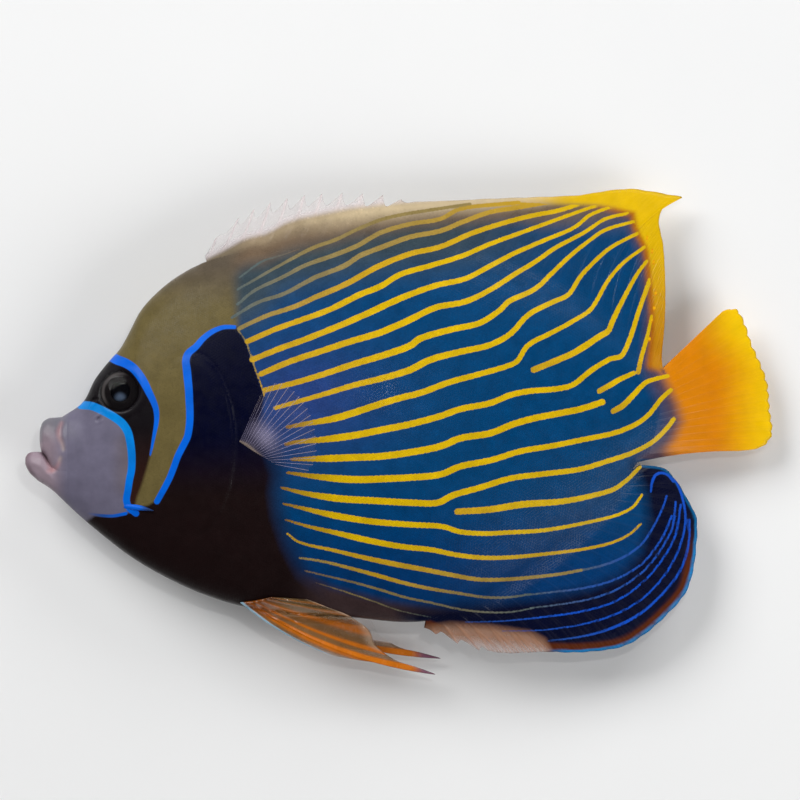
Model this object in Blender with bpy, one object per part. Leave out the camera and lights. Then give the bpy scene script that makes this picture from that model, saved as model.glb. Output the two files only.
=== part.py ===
"""Emperor angelfish, life size, lying on its right flank as a caught fish rests.

The snout points to -X, the back to +Y and the left flank up to +Z. The origin is at
the middle of the bounding box's underside. Every table of sizes is in millimetres and
is turned into metres where it is read.

The fish is modelled whole, as a middle surface with a half thickness on either side
of it, and is parted by thin cuts. Each node is a closed shell between two like grids,
one for each flank.
"""

import math
from dataclasses import dataclass, replace

import bmesh
import bpy
import numpy as np
from mathutils import Matrix, Vector

MM = 0.001

# Driving sizes
TOTAL_LENGTH = 270.0
FLANK_HEIGHT = 20.9
CUT_GAP = 0.3

# Places along the body
SNOUT_X = -121.7
GILL_CUT_X = -58.8
STALK_CUT_X = 72.6
TAIL_ROOT_X = 90.4
TAIL_ROOT_SLANT = 4.2
SLANT_START_X = 54.0

# The back and belly lines without the fins
BACK_LINE = (
    (-121.7, 5.4), (-114.1, 10.8), (-109.7, 19.1), (-104.3, 26.0), (-100.7, 30.0), (-97.1, 36.5),
    (-93.1, 44.0), (-86.3, 51.3), (-79.1, 56.7), (-69.7, 61.5), (-58.8, 64.3), (-46.6, 65.6),
    (-32.1, 66.2), (-17.7, 66.2), (0.4, 65.4), (18.4, 63.2), (36.5, 59.2), (54.5, 52.4),
    (72.6, 41.6), (83.4, 32.2), (94.6, 22.4), (100.0, 17.0),
)
BELLY_LINE = (
    (-121.7, -24.2), (-115.2, -30.3), (-107.9, -36.5), (-97.1, -44.8), (-86.3, -51.3),
    (-71.8, -58.1), (-57.0, -62.8), (-35.7, -65.8), (-18.1, -66.8), (1.1, -68.6), (11.2, -67.9),
    (25.6, -63.2), (40.1, -55.6), (54.5, -45.5), (69.0, -32.5), (79.8, -19.9), (86.3, -10.8),
    (92.0, -4.0),
)

# Half of the body's thickness along its length, and of the edges that carry the fins
HALF_WIDTH = (
    (-121.7, 7.0), (-116.0, 8.8), (-108.0, 11.4), (-100.0, 13.6), (-90.0, 16.0), (-72.0, 19.4),
    (-54.0, 21.4), (-36.0, 22.1), (-18.0, 22.0), (0.0, 21.4), (18.0, 19.3), (36.0, 16.2),
    (54.0, 12.8), (72.0, 9.2), (86.0, 6.6), (100.0, 5.0),
)
BACK_EDGE = ((-121.7, 0.5), (-75.0, 0.6), (-50.0, 1.6), (0.0, 2.1), (60.0, 1.9), (95.0, 1.2))
BELLY_EDGE = ((-121.7, 0.5), (-57.0, 0.9), (5.0, 1.2), (25.0, 1.8), (60.0, 1.7), (90.0, 1.2))
SECTION_POWER = ((-121.7, 0.45), (-100.0, 0.42), (-75.0, 0.5), (-50.0, 0.6))

# How far the tail and the outer fins hang towards the floor
TAIL_SAG = 11.0
TAIL_SAG_START_X = 20.0
FIN_SAG = 4.0
FIN_SAG_START_Y = 62.0
FIN_SAG_REACH = 26.0

# Grid sizes of the body
STATIONS = {"head": 17, "trunk": 21, "tail_stalk": 5}
ACROSS = 14

# Colours are linear, as red, green and blue
COLOURS = {
    "olive": (0.13, 0.10, 0.035),
    "flank": (0.004, 0.05, 0.19),
    "lip": (0.25, 0.19, 0.22),
    "iris": (0.01, 0.008, 0.008),
    "gill": (0.004, 0.006, 0.02),
    "spine": (0.002, 0.13, 0.55),
    "brown": (0.10, 0.06, 0.03),
    "yellow": (0.85, 0.50, 0.002),
    "navy": (0.003, 0.008, 0.05),
    "clear": (0.25, 0.22, 0.22),
    "orange": (0.55, 0.10, 0.002),
}


def clamp(value, low=0.0, high=1.0):
    """Keeps numbers or arrays between two limits."""
    return np.minimum(np.maximum(value, low), high)


def smooth_line(points, steps=10):
    """Returns a dense line through the points, by a centripetal Catmull-Rom curve."""
    p = np.array(points, float)
    p = np.vstack([2 * p[0] - p[1], p, 2 * p[-1] - p[-2]])
    out = []
    for i in range(1, len(p) - 2):
        knots = [0.0]
        for a, b in zip(p[i - 1:i + 2], p[i:i + 3]):
            knots.append(knots[-1] + max(np.linalg.norm(b - a), 1e-6) ** 0.5)
        k0, k1, k2, k3 = knots
        for t in np.linspace(k1, k2, steps, endpoint=False):
            a1 = ((k1 - t) * p[i - 1] + (t - k0) * p[i]) / (k1 - k0)
            a2 = ((k2 - t) * p[i] + (t - k1) * p[i + 1]) / (k2 - k1)
            a3 = ((k3 - t) * p[i + 1] + (t - k2) * p[i + 2]) / (k3 - k2)
            b1 = ((k2 - t) * a1 + (t - k0) * a2) / (k2 - k0)
            b2 = ((k3 - t) * a2 + (t - k1) * a3) / (k3 - k1)
            out.append(((k2 - t) * b1 + (t - k1) * b2) / (k2 - k1))
    out.append(p[-2])
    return np.array(out)


BACK = smooth_line(BACK_LINE)
BELLY = smooth_line(BELLY_LINE)
WIDTH = smooth_line(HALF_WIDTH)


def along(line, fraction):
    """Returns the points at these fractions of a line's own length."""
    line = np.asarray(line, float)
    length = np.concatenate([[0.0], np.cumsum(np.linalg.norm(np.diff(line, axis=0), axis=1))])
    at = np.asarray(fraction, float) * length[-1]
    return np.stack([np.interp(at, length, line[:, k]) for k in range(2)], axis=-1)


def read(table, x):
    """Reads a table of pairs at x."""
    table = np.asarray(table, float)
    return np.interp(x, table[:, 0], table[:, 1])


def middle(x, y):
    """Height of the fish's middle surface over the floor."""
    tail = clamp((x - TAIL_SAG_START_X) / (TOTAL_LENGTH / 2 - TAIL_SAG_START_X), 0.0, 1.1)
    outer = clamp((np.abs(y) - FIN_SAG_START_Y) / FIN_SAG_REACH, 0.0, 1.1)
    return FLANK_HEIGHT - TAIL_SAG * tail ** 2 - FIN_SAG * outer ** 2


def section_ends(x):
    """Ends of the body's section at x, on the belly and the back line."""
    lean = TAIL_ROOT_SLANT * clamp((x - SLANT_START_X) / (TAIL_ROOT_X - SLANT_START_X)) ** 2
    low = np.stack([x - lean, np.interp(x - lean, BELLY[:, 0], BELLY[:, 1])], axis=-1)
    top = np.stack([x + lean, np.interp(x + lean, BACK[:, 0], BACK[:, 1])], axis=-1)
    return low, top


def half_at(x, s):
    """Half thickness of the section at x, where s runs from -1 on the belly to 1 on the back."""
    edge = np.where(s > 0, read(BACK_EDGE, x), read(BELLY_EDGE, x))
    round_part = clamp(1.0 - np.abs(s) ** 2) ** read(SECTION_POWER, x)
    return edge + (read(WIDTH, x) - edge) * round_part


def flank(x, y):
    """Half thickness of the body at a place where its sections are upright."""
    low, top = section_ends(np.asarray(x, float))
    s = clamp((2 * y - top[..., 1] - low[..., 1]) / (top[..., 1] - low[..., 1]), -1.0, 1.0)
    return half_at(x, s)


def surface(x, y, side, lift=0.0):
    """A point on the left (side 1) or right (side -1) flank, lifted off it."""
    return Vector((x, y, float(middle(x, y) + side * (flank(x, y) + lift)))) * MM


def surface_turn(x, y, side):
    """The rotation that sets +Z along the flank's outward normal."""
    step = 0.5
    along_x = surface(x + step, y, side) - surface(x - step, y, side)
    along_y = surface(x, y + step, side) - surface(x, y - step, side)
    normal = along_x.cross(along_y) * side
    return normal.to_track_quat("Z", "Y").to_matrix().to_4x4()


def material(name):
    """One plain material for a node."""
    made = bpy.data.materials.new(name)
    made.use_nodes = True
    shader = made.node_tree.nodes["Principled BSDF"]
    shader.inputs["Base Color"].default_value = (*COLOURS[name], 1.0)
    shader.inputs["Roughness"].default_value = 0.35
    shader.inputs["Metallic"].default_value = 0.0
    return made


def new_object(name, mesh, colour, group):
    """Links a mesh as a named object with its own material, shaded smooth."""
    mesh.materials.clear()
    mesh.materials.append(material(colour))
    mesh.shade_smooth()
    mesh.set_sharp_from_angle(angle=math.radians(50))
    ob = bpy.data.objects.new(name, mesh)
    group.objects.link(ob)
    return ob


def closed_shell(left, right):
    """A closed mesh between two like grids of points, split alike into triangles.

    Both grids hold points in millimetres, with the left one above the right one. A wall
    joins them round their rims.
    """
    rows, columns = left.shape[:2]
    bm = bmesh.new()
    upper = [[bm.verts.new(Vector(p) * MM) for p in row] for row in left]
    lower = [[bm.verts.new(Vector(p) * MM) for p in row] for row in right]
    for i in range(rows - 1):
        for j in range(columns - 1):
            for grid, flip in ((upper, False), (lower, True)):
                a, b, c, d = grid[i][j], grid[i + 1][j], grid[i + 1][j + 1], grid[i][j + 1]
                for corners in ((a, b, c), (a, c, d)):
                    bm.faces.new(corners[::-1] if flip else corners)
    rim = [(i, 0) for i in range(rows)]
    rim += [(rows - 1, j) for j in range(1, columns)]
    rim += [(i, columns - 1) for i in range(rows - 2, -1, -1)]
    rim += [(0, j) for j in range(columns - 2, 0, -1)]
    for (i, j), (k, m) in zip(rim, rim[1:] + rim[:1]):
        a, b, c, d = upper[i][j], upper[k][m], lower[k][m], lower[i][j]
        bm.faces.new((a, c, b))
        bm.faces.new((a, d, c))
    bmesh.ops.recalc_face_normals(bm, faces=bm.faces)
    if bm.calc_volume(signed=True) < 0:
        bmesh.ops.reverse_faces(bm, faces=bm.faces)
    mesh = bpy.data.meshes.new("shell")
    bm.to_mesh(mesh)
    bm.free()
    return mesh


def keep_largest(mesh):
    """Drops every closed surface of a mesh but the largest."""
    bm = bmesh.new()
    bm.from_mesh(mesh)
    left, groups = set(bm.faces), []
    while left:
        group, edge = set(), [left.pop()]
        while edge:
            face = edge.pop()
            group.add(face)
            near = {f for e in face.edges for f in e.link_faces} & left
            left -= near
            edge.extend(near)
        groups.append(group)
    groups.sort(key=lambda group: sum(face.calc_area() for face in group))
    spare = [face for group in groups[:-1] for face in group]
    bmesh.ops.delete(bm, geom=spare, context="FACES")
    bm.to_mesh(mesh)
    bm.free()


def combine(ob, pieces, operation):
    """Joins or cuts an object with a collection of pieces, applies it and removes them."""
    group = bpy.data.collections.new("pieces")
    for piece in pieces:
        group.objects.link(piece)
    cut = ob.modifiers.new(operation.lower(), "BOOLEAN")
    cut.operation = operation
    cut.operand_type = "COLLECTION"
    cut.collection = group
    cut.solver = "EXACT"
    evaluated = ob.evaluated_get(bpy.context.evaluated_depsgraph_get())
    mesh = bpy.data.meshes.new_from_object(evaluated)
    ob.modifiers.clear()
    ob.data = mesh
    for piece in pieces:
        bpy.data.objects.remove(piece)
    bpy.data.collections.remove(group)
    keep_largest(mesh)
    mesh.shade_smooth()
    mesh.set_sharp_from_angle(angle=math.radians(50))


def spare_piece(name, mesh, group):
    """An object that will be joined or cut away, kept in the cutters' collection."""
    ob = bpy.data.objects.new(name, mesh)
    ob.hide_render = True
    ob.display_type = "WIRE"
    group.objects.link(ob)
    return ob


def both_faces(points, half):
    """Left and right grids round the middle surface, kept over the floor."""
    mid = middle(points[..., 0], points[..., 1])
    upper = np.concatenate([points, (mid + half)[..., None]], axis=-1)
    lower = np.concatenate([points, clamp(mid - half, 0.0, 1e3)[..., None]], axis=-1)
    return upper, lower


def body_stations():
    """Stations along the body, by node, with the cut's gap between neighbours."""
    gap = CUT_GAP / 2
    turn = np.linspace(0.0, math.pi / 2, STATIONS["head"])
    head_length = GILL_CUT_X - gap - SNOUT_X
    return {
        "head": SNOUT_X + head_length * (1.0 - np.cos(turn)),
        "trunk": np.linspace(GILL_CUT_X + gap, STALK_CUT_X - gap, STATIONS["trunk"]),
        "tail_stalk": np.linspace(STALK_CUT_X + gap, TAIL_ROOT_X, STATIONS["tail_stalk"]),
    }


def make_body(group):
    """The head, trunk and tail stalk, before anything is cut into them."""
    across = np.sin(np.linspace(-math.pi / 2, math.pi / 2, ACROSS + 1))
    colours = {"head": "olive", "trunk": "flank", "tail_stalk": "flank"}
    made = {}
    for name, stations in body_stations().items():
        low, top = section_ends(stations)
        blend = (across[None, :, None] + 1.0) / 2.0
        points = low[:, None, :] * (1.0 - blend) + top[:, None, :] * blend
        half = half_at(stations[:, None], across[None, :])
        made[name] = new_object(name, closed_shell(*both_faces(points, half)), colours[name], group)
    return made


def edge_line(which):
    """The back (1) or belly (0) line as the straight stretches between the stations."""
    stations = np.concatenate(list(body_stations().values()))
    return section_ends(stations)[which]


# Lips: distance along X, lower and upper edge, half thickness
UPPER_LIP = (
    (-129.8, -1.2, 1.2, 1.2), (-129.2, -5.0, 2.0, 2.6), (-128.4, -6.4, 2.8, 3.8),
    (-126.8, -6.6, 4.0, 4.8), (-124.5, -6.6, 4.9, 5.6), (-122.0, -6.5, 5.3, 6.2),
)
LOWER_LIP = (
    (-134.9, -11.2, -8.9, 1.3), (-134.2, -13.2, -7.7, 2.6), (-132.4, -15.8, -7.5, 3.9),
    (-129.4, -18.2, -7.3, 5.2), (-125.6, -20.9, -7.1, 6.2), (-122.0, -24.0, -7.0, 6.8),
)
LIP_POWER = 0.5
LIP_EDGE = 0.8
LIP_ACROSS = 10


def make_lip(name, table, group):
    """One lip, a blunt wedge in front of the head."""
    table = np.array(table, float)
    across = np.sin(np.linspace(-math.pi / 2, math.pi / 2, LIP_ACROSS + 1))
    x = np.repeat(table[:, :1], LIP_ACROSS + 1, axis=1)
    blend = (across[None, :] + 1.0) / 2.0
    y = table[:, 1:2] * (1.0 - blend) + table[:, 2:3] * blend
    edge = np.minimum(LIP_EDGE, table[:, 3:4] * 0.6)
    half = edge + (table[:, 3:4] - edge) * clamp(1.0 - across[None, :] ** 2) ** LIP_POWER
    shell = closed_shell(*both_faces(np.stack([x, y], axis=-1), half))
    return new_object(name, shell, "lip", group)


# Eyes, orbits and nostrils
EYE_X, EYE_Y = -100.2, 14.6
EYE_RADIUS = 7.4
EYE_DEPTH = 4.6
EYE_LIFT = 1.3
EYE_TURN = 0.55
ORBIT_RADIUS = 7.9
ORBIT_THICKNESS = 1.1
ORBIT_LIFT = -0.1
ORBIT_POINTS = 20
NOSTRILS = ((-109.6, 11.0, 0.8), (-107.4, 8.0, 0.65))
NOSTRIL_DEPTH = 1.4


def eye_mesh(grow=0.0):
    """A flattened ball, or the socket round it."""
    bm = bmesh.new()
    radius, depth = (EYE_RADIUS + grow) * MM, (EYE_DEPTH + grow) * MM
    shape = Matrix.Diagonal((radius, radius, depth, 1.0))
    bmesh.ops.create_uvsphere(bm, u_segments=16, v_segments=10, radius=1.0, matrix=shape)
    mesh = bpy.data.meshes.new("eye")
    bm.to_mesh(mesh)
    bm.free()
    return mesh


def orbit_mesh(side):
    """The raised rim round an eye, a closed tube that follows the flank."""
    curve = bpy.data.curves.new("orbit", "CURVE")
    curve.dimensions = "3D"
    curve.bevel_depth = ORBIT_THICKNESS * MM
    curve.bevel_resolution = 1
    spline = curve.splines.new("POLY")
    spline.points.add(ORBIT_POINTS - 1)
    spline.use_cyclic_u = True
    for number, point in enumerate(spline.points):
        turn = 2 * math.pi * number / ORBIT_POINTS
        x = EYE_X + ORBIT_RADIUS * math.cos(turn)
        y = EYE_Y + ORBIT_RADIUS * math.sin(turn)
        point.co = (*surface(x, y, side, ORBIT_LIFT), 1.0)
    tube = bpy.data.objects.new("orbit", curve)
    mesh = bpy.data.meshes.new_from_object(tube)
    bpy.data.objects.remove(tube)
    return mesh


def place(ob, x, y, side, lift, share=1.0):
    """Sets an object on the flank, turned by this share of the flank's slope."""
    upright = Vector((0.0, 0.0, side)).to_track_quat("Z", "Y")
    turn = upright.slerp(surface_turn(x, y, side).to_quaternion(), share).to_matrix().to_4x4()
    lifted = turn.to_3x3() @ Vector((0.0, 0.0, lift * MM))
    ob.location = surface(x, y, side) + lifted
    ob.rotation_euler = turn.to_euler()
    bpy.context.view_layer.update()


def make_eyes(head, group, cutters):
    """Both eyes in sockets, with a raised orbit round each and the nostrils before it."""
    rims, sockets = [], []
    for side, word in ((1, "left"), (-1, "right")):
        rims.append(spare_piece(f"orbit_{word}", orbit_mesh(side), cutters))
        socket = spare_piece(f"socket_{word}", eye_mesh(CUT_GAP), cutters)
        place(socket, EYE_X, EYE_Y, side, EYE_LIFT - EYE_DEPTH, EYE_TURN)
        sockets.append(socket)
        eye = new_object(f"eye_{word}", eye_mesh(), "iris", group)
        place(eye, EYE_X, EYE_Y, side, EYE_LIFT - EYE_DEPTH, EYE_TURN)
        for number, (x, y, radius) in enumerate(NOSTRILS):
            bm = bmesh.new()
            bmesh.ops.create_cone(
                bm, cap_ends=True, segments=10, radius1=radius * MM, radius2=radius * MM,
                depth=2 * NOSTRIL_DEPTH * MM,
            )
            mesh = bpy.data.meshes.new("nostril")
            bm.to_mesh(mesh)
            bm.free()
            pit = spare_piece(f"nostril_{word}_{number}", mesh, cutters)
            place(pit, x, y, side, 0.0)
            sockets.append(pit)
    combine(head, rims, "UNION")
    combine(head, sockets, "DIFFERENCE")


# Gill covers: an oval plate let into the cheek, its rear edge standing proud
GILL_X, GILL_Y = -74.6, -4.6
GILL_HALF_LENGTH, GILL_HALF_HEIGHT = 14.4, 29.0
GILL_INSET = 1.4
GILL_RAISE_FRONT, GILL_RAISE_REAR = 0.1, 0.7
GILL_GRID = (7, 11)


def gill_mesh(side, grow=0.0, outer=None):
    """The plate, or the pocket for it, between two levels off the flank."""
    a = np.linspace(-1.0, 1.0, GILL_GRID[0])[:, None]
    b = np.linspace(-1.0, 1.0, GILL_GRID[1])[None, :]
    x = GILL_X + (GILL_HALF_LENGTH + grow) * a * np.sqrt(1.0 - b ** 2 / 2.0)
    y = GILL_Y + (GILL_HALF_HEIGHT + grow) * b * np.sqrt(1.0 - a ** 2 / 2.0)
    half = flank(x, y)
    rearward = clamp((x - GILL_X + GILL_HALF_LENGTH) / (2 * GILL_HALF_LENGTH))
    raised = GILL_RAISE_FRONT + (GILL_RAISE_REAR - GILL_RAISE_FRONT) * rearward
    far = half + (raised if outer is None else outer)
    near = half - GILL_INSET - grow
    lowest = 0.0 if outer is None else -1e3
    mid = middle(x, y)
    levels = [mid + side * far, mid + side * near]
    top, bottom = (levels if side > 0 else levels[::-1])
    grids = [np.stack([x, y, clamp(z, lowest, 1e3)], axis=-1) for z in (top, bottom)]
    return closed_shell(*grids)


def make_gill_covers(head, group, cutters):
    """Both gill covers, each in its pocket."""
    pockets = []
    for side, word in ((1, "left"), (-1, "right")):
        new_object(f"gill_cover_{word}", gill_mesh(side), "gill", group)
        pocket = gill_mesh(side, grow=CUT_GAP, outer=6.0)
        pockets.append(spare_piece(f"gill_pocket_{word}", pocket, cutters))
    combine(head, pockets, "DIFFERENCE")


# Cheek spine: it grows from the cheek's lower rear corner and points back
CHEEK_SPINE_ROOT = (-98.4, -25.8)
CHEEK_SPINE_TIP = (-88.6, -30.4)
CHEEK_SPINE_RADIUS = 1.3
CHEEK_SPINE_SUNK = 1.6
CHEEK_SPINE_LIFT = 1.3


def cheek_spine_mesh(side, grow=0.0):
    """A tapered spine from inside the cheek to its free tip."""
    (x0, y0), (x1, y1) = CHEEK_SPINE_ROOT, CHEEK_SPINE_TIP
    root = surface(x0, y0, side, -CHEEK_SPINE_SUNK - grow)
    tip = surface(x1, y1, side, CHEEK_SPINE_LIFT)
    way = tip - root
    length = way.length + grow * MM
    bm = bmesh.new()
    bmesh.ops.create_cone(
        bm, cap_ends=True, segments=10, depth=length,
        radius1=(CHEEK_SPINE_RADIUS + grow) * MM, radius2=(0.2 + grow) * MM,
    )
    turn = way.to_track_quat("Z", "Y").to_matrix().to_4x4()
    middle_point = root + way.normalized() * (length / 2)
    bmesh.ops.transform(bm, matrix=Matrix.Translation(middle_point) @ turn, verts=bm.verts)
    mesh = bpy.data.meshes.new("cheek_spine")
    bm.to_mesh(mesh)
    bm.free()
    return mesh


def make_cheek_spines(head, group, cutters):
    """Both cheek spines, each in its socket."""
    sockets = []
    for side, word in ((1, "left"), (-1, "right")):
        new_object(f"cheek_spine_{word}", cheek_spine_mesh(side), "spine", group)
        socket = cheek_spine_mesh(side, grow=CUT_GAP)
        sockets.append(spare_piece(f"cheek_socket_{word}", socket, cutters))
    combine(head, sockets, "DIFFERENCE")


FLAT = ((0.0, 0.0), (1.0, 0.0))


@dataclass
class Fin:
    """A fan of rays between a root line and a margin line.

    columns holds, for the fan's own fraction, the fractions of the root and margin
    lines that a column joins, and how far the column bows sideways over its length.
    """

    root: np.ndarray
    margin: np.ndarray
    columns: tuple
    rays: int
    root_half: tuple
    edge_half: float = 0.3
    taper: float = 1.6
    ridge: float = 0.2
    tip_reach: tuple = ((0.0, 0.0), (1.0, 0.0))
    notch: tuple = ((0.0, 0.4), (1.0, 0.4))
    rows: int = 7
    span: tuple = (0.0, 1.0)
    height: object = None
    flat_under: bool = False

    def grid(self):
        """Points, half thicknesses and the share of the way from root to margin."""
        first, last = self.span
        fan = np.linspace(0.0, 1.0, 2 * self.rays + 1)
        inside = fan[(fan > first + 0.004) & (fan < last - 0.004)]
        fan = np.concatenate([[first], inside, [last]])
        table = np.array(self.columns, float)
        start = along(self.root, np.interp(fan, table[:, 0], table[:, 1]))
        end = along(self.margin, np.interp(fan, table[:, 0], table[:, 2]))
        bow = np.interp(fan, table[:, 0], table[:, 3])
        on_ray = np.isclose(np.round(fan * 2 * self.rays) % 2, 1)
        way = end - start
        length = np.linalg.norm(way, axis=1, keepdims=True)
        unit = way / length
        reach = np.where(on_ray, read(self.tip_reach, fan), -read(self.notch, fan))
        end = end + unit * reach[:, None]
        share = np.linspace(0.0, 1.0, self.rows + 1)[None, :, None]
        sideways = np.stack([-unit[:, 1], unit[:, 0]], axis=-1)[:, None, :]
        points = start[:, None, :] + (end - start)[:, None, :] * share
        points = points + sideways * (bow * length[:, 0])[:, None, None] * 4 * share * (1 - share)
        t = share[..., 0]
        thick = read(self.root_half, fan)[:, None]
        half = self.edge_half + (thick - self.edge_half) * (1.0 - t) ** self.taper
        half = half + np.where(on_ray, self.ridge, 0.0)[:, None] * (1.0 - 0.4 * t) * (t > 0)
        return points, half, t

    def socket(self, grow):
        """A plain, coarser fan, larger all round, that cuts the fin's place in the body."""
        plain = replace(self, rays=6, ridge=0.0, tip_reach=FLAT, notch=FLAT)
        return plain.mesh(grow, self.ridge)

    def mesh(self, grow=0.0, ridge=0.0):
        """The fin as a closed shell, or the space it takes with this gap round it."""
        points, half, _ = self.grid()
        if grow:
            half = half + ridge
            down = points[:, 1] - points[:, 0]
            out = points[:, -1] - points[:, -2]
            aside = points[1] - points[0]
            beyond = points[-1] - points[-2]
            for rim, way, reach in (
                ((slice(None), 0), -down, grow), ((slice(None), -1), out, 2 * grow),
                ((0,), -aside, grow), ((-1,), beyond, grow),
            ):
                points[rim] += way / np.linalg.norm(way, axis=-1, keepdims=True) * reach
        x, y = points[..., 0], points[..., 1]
        if self.flat_under:
            low = np.full_like(x, -4.0 if grow else 0.0)
            high = 2 * half + grow
        else:
            mid = middle(x, y) if self.height is None else self.height(x, y)
            low, high = mid - half - grow, mid + half + grow
        grids = [np.stack([x, y, z], axis=-1) for z in (high, low)]
        return closed_shell(*grids)


DORSAL_RAYS = 33
DORSAL_SPLIT = 14 / 33
DORSAL_ROOT_ENDS = (-69.5, 93.4)
DORSAL_MARGIN = (
    (-70.0, 63.4), (-65.5, 70.4), (-57.0, 76.6), (-47.0, 80.6), (-36.0, 82.9), (-24.0, 83.3),
    (-12.0, 83.0), (0.4, 83.0), (18.4, 83.6), (36.5, 84.4), (54.0, 85.0), (65.3, 85.6),
    (76.0, 87.3), (84.0, 87.9), (91.3, 87.0), (97.0, 86.0), (102.6, 84.8),
    (97.6, 82.9), (94.9, 79.8), (94.0, 75.8), (95.5, 67.5), (96.3, 51.3), (96.0, 38.6),
    (94.6, 24.6),
)
DORSAL_COLUMNS = (
    (0.0, 0.0, 0.0, 0.0), (0.03, 0.02, 0.045, -0.04), (0.2, 0.26, 0.18, -0.05),
    (14 / 33, 0.60, 0.485, -0.04), (0.60, 0.76, 0.655, 0.03), (44 / 66, 0.82, 0.712, 0.12),
    (45 / 66, 0.828, 0.733, 0.15), (46 / 66, 0.842, 0.757, 0.125), (48 / 66, 0.868, 0.79, 0.09),
    (0.80, 0.91, 0.84, 0.05), (1.0, 1.0, 1.0, 0.0),
)

ANAL_RAYS = 24
ANAL_ROOT_ENDS = (9.5, 85.6)
ANAL_MARGIN = (
    (9.0, -70.6), (22.4, -76.0), (36.0, -79.6), (52.0, -79.4), (66.8, -79.5), (81.2, -77.4),
    (88.8, -73.0), (96.0, -66.8), (103.6, -58.1), (106.1, -50.9), (107.5, -40.8), (107.5, -31.0),
    (104.4, -24.6), (100.0, -17.4), (95.8, -13.2), (87.2, -11.9),
)
ANAL_COLUMNS = (
    (0.0, 0.0, 0.0, 0.0), (0.125, 0.10, 0.15, 0.03), (0.5, 0.52, 0.50, 0.05),
    (0.8, 0.85, 0.80, 0.03), (1.0, 1.0, 1.0, 0.0),
)

CAUDAL_RAYS = 17
CAUDAL_MARGIN = (
    (117.2, 43.8), (121.8, 44.2), (124.5, 40.2), (127.4, 31.8), (130.2, 25.6), (133.0, 18.0),
    (134.0, 8.0), (134.9, 1.2), (134.6, -1.6), (132.4, -4.6), (129.0, -6.2), (123.2, -6.9),
)
CAUDAL_COLUMNS = (
    (0.0, 0.0, 0.0, 0.0), (0.12, 0.10, 0.10, 0.02), (0.5, 0.5, 0.52, 0.0),
    (0.9, 0.92, 0.90, 0.02), (1.0, 1.0, 1.0, 0.03),
)

PECTORAL_RAYS = 19
PECTORAL_BASE = ((-57.6, -4.0), (-53.0, -7.6), (-47.8, -11.0))
PECTORAL_TIPS = (
    (-50.6, 11.2), (-47.4, 15.6), (-43.0, 17.4), (-38.4, 15.0), (-34.4, 10.6), (-31.4, 4.4),
    (-30.0, -3.4), (-30.6, -10.4), (-33.6, -14.6),
)
PECTORAL_RISE = 0.85
PECTORAL_SUNK = 1.5

PECTORAL_RIGHT_BASE = ((-52.0, 4.0), (-53.0, -1.0), (-52.0, -6.0))
PECTORAL_RIGHT_TIPS = (
    (-34.0, 11.6), (-26.0, 12.0), (-18.5, 9.6), (-14.0, 5.0), (-12.5, -0.6), (-14.4, -6.0),
    (-20.0, -10.4), (-28.0, -12.4), (-36.0, -12.0),
)

PELVIC_RAYS = 6
PELVIC_BASE = ((-57.4, -61.4), (-53.0, -61.9), (-49.0, -62.2))
PELVIC_TIPS = (
    (-27.5, -79.6), (-21.0, -81.4), (-1.0, -84.6), (13.7, -87.7), (13.9, -86.9), (-1.2, -82.4),
    (-8.3, -77.3), (-11.2, -71.5), (-18.5, -69.0),
)
PELVIC_COLUMNS = (
    (0.0, 0.0, 0.0, -0.04), (2 / 12, 0.17, 0.08, -0.04), (3 / 12, 0.25, 0.516, -0.04),
    (4 / 12, 0.34, 0.70, -0.035), (5 / 12, 0.42, 0.735, -0.03), (7 / 12, 0.6, 0.82, -0.02),
    (9 / 12, 0.8, 0.90, -0.01), (1.0, 1.0, 1.0, 0.0),
)
PELVIC_SPREAD = 4.5
PELVIC_TILT = {"left": (23.8, -0.18), "right": (18.0, -0.18)}


def root_between(which, ends, away):
    """The stretch of the back or belly line under a fin, with the cut's gap."""
    line = edge_line(which)
    low, high = (np.interp(x, line[:, 0], line[:, 1]) for x in ends)
    kept = line[(line[:, 0] > ends[0] + 0.5) & (line[:, 0] < ends[1] - 0.5)]
    root = np.vstack([[ends[0], low], kept, [ends[1], high]])
    return root + np.array([0.0, away * CUT_GAP])


def make_dorsal(group):
    """The dorsal fin in two nodes: fourteen spines, then nineteen soft rays."""
    root = root_between(1, DORSAL_ROOT_ENDS, 1.0)
    margin = smooth_line(DORSAL_MARGIN)
    gap = 0.0009
    halves = ((0.0, 0.6), (0.1, 1.5), (0.4, 2.1), (0.8, 1.8), (1.0, 1.2))
    shared = dict(root=root, margin=margin, columns=DORSAL_COLUMNS, rays=DORSAL_RAYS,
                  root_half=halves)
    spiny = Fin(
        **shared, ridge=0.3, span=(0.0, DORSAL_SPLIT - gap),
        tip_reach=((0.0, 1.0), (0.08, 3.0), (0.25, 2.2), (0.42, 0.6)),
        notch=((0.0, 1.2), (0.08, 3.2), (0.25, 2.4), (0.42, 0.6)),
    )
    soft = Fin(**shared, span=(DORSAL_SPLIT + gap, 1.0), notch=((0.42, 0.3), (1.0, 0.3)))
    new_object("dorsal_fin_spiny", spiny.mesh(), "brown", group)
    new_object("dorsal_fin_soft", soft.mesh(), "yellow", group)


def make_anal(group):
    """The anal fin: three spines and twenty-one soft rays."""
    fin = Fin(
        root=root_between(0, ANAL_ROOT_ENDS, -1.0), margin=smooth_line(ANAL_MARGIN),
        columns=ANAL_COLUMNS, rays=ANAL_RAYS,
        root_half=((0.0, 1.1), (0.2, 1.7), (0.8, 1.7), (1.0, 1.2)),
        tip_reach=((0.0, 2.0), (0.12, 3.0), (0.16, 0.0), (1.0, 0.0)),
        notch=((0.0, 1.5), (0.12, 1.5), (0.16, 0.3), (1.0, 0.3)),
    )
    new_object("anal_fin", fin.mesh(), "navy", group)


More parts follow.
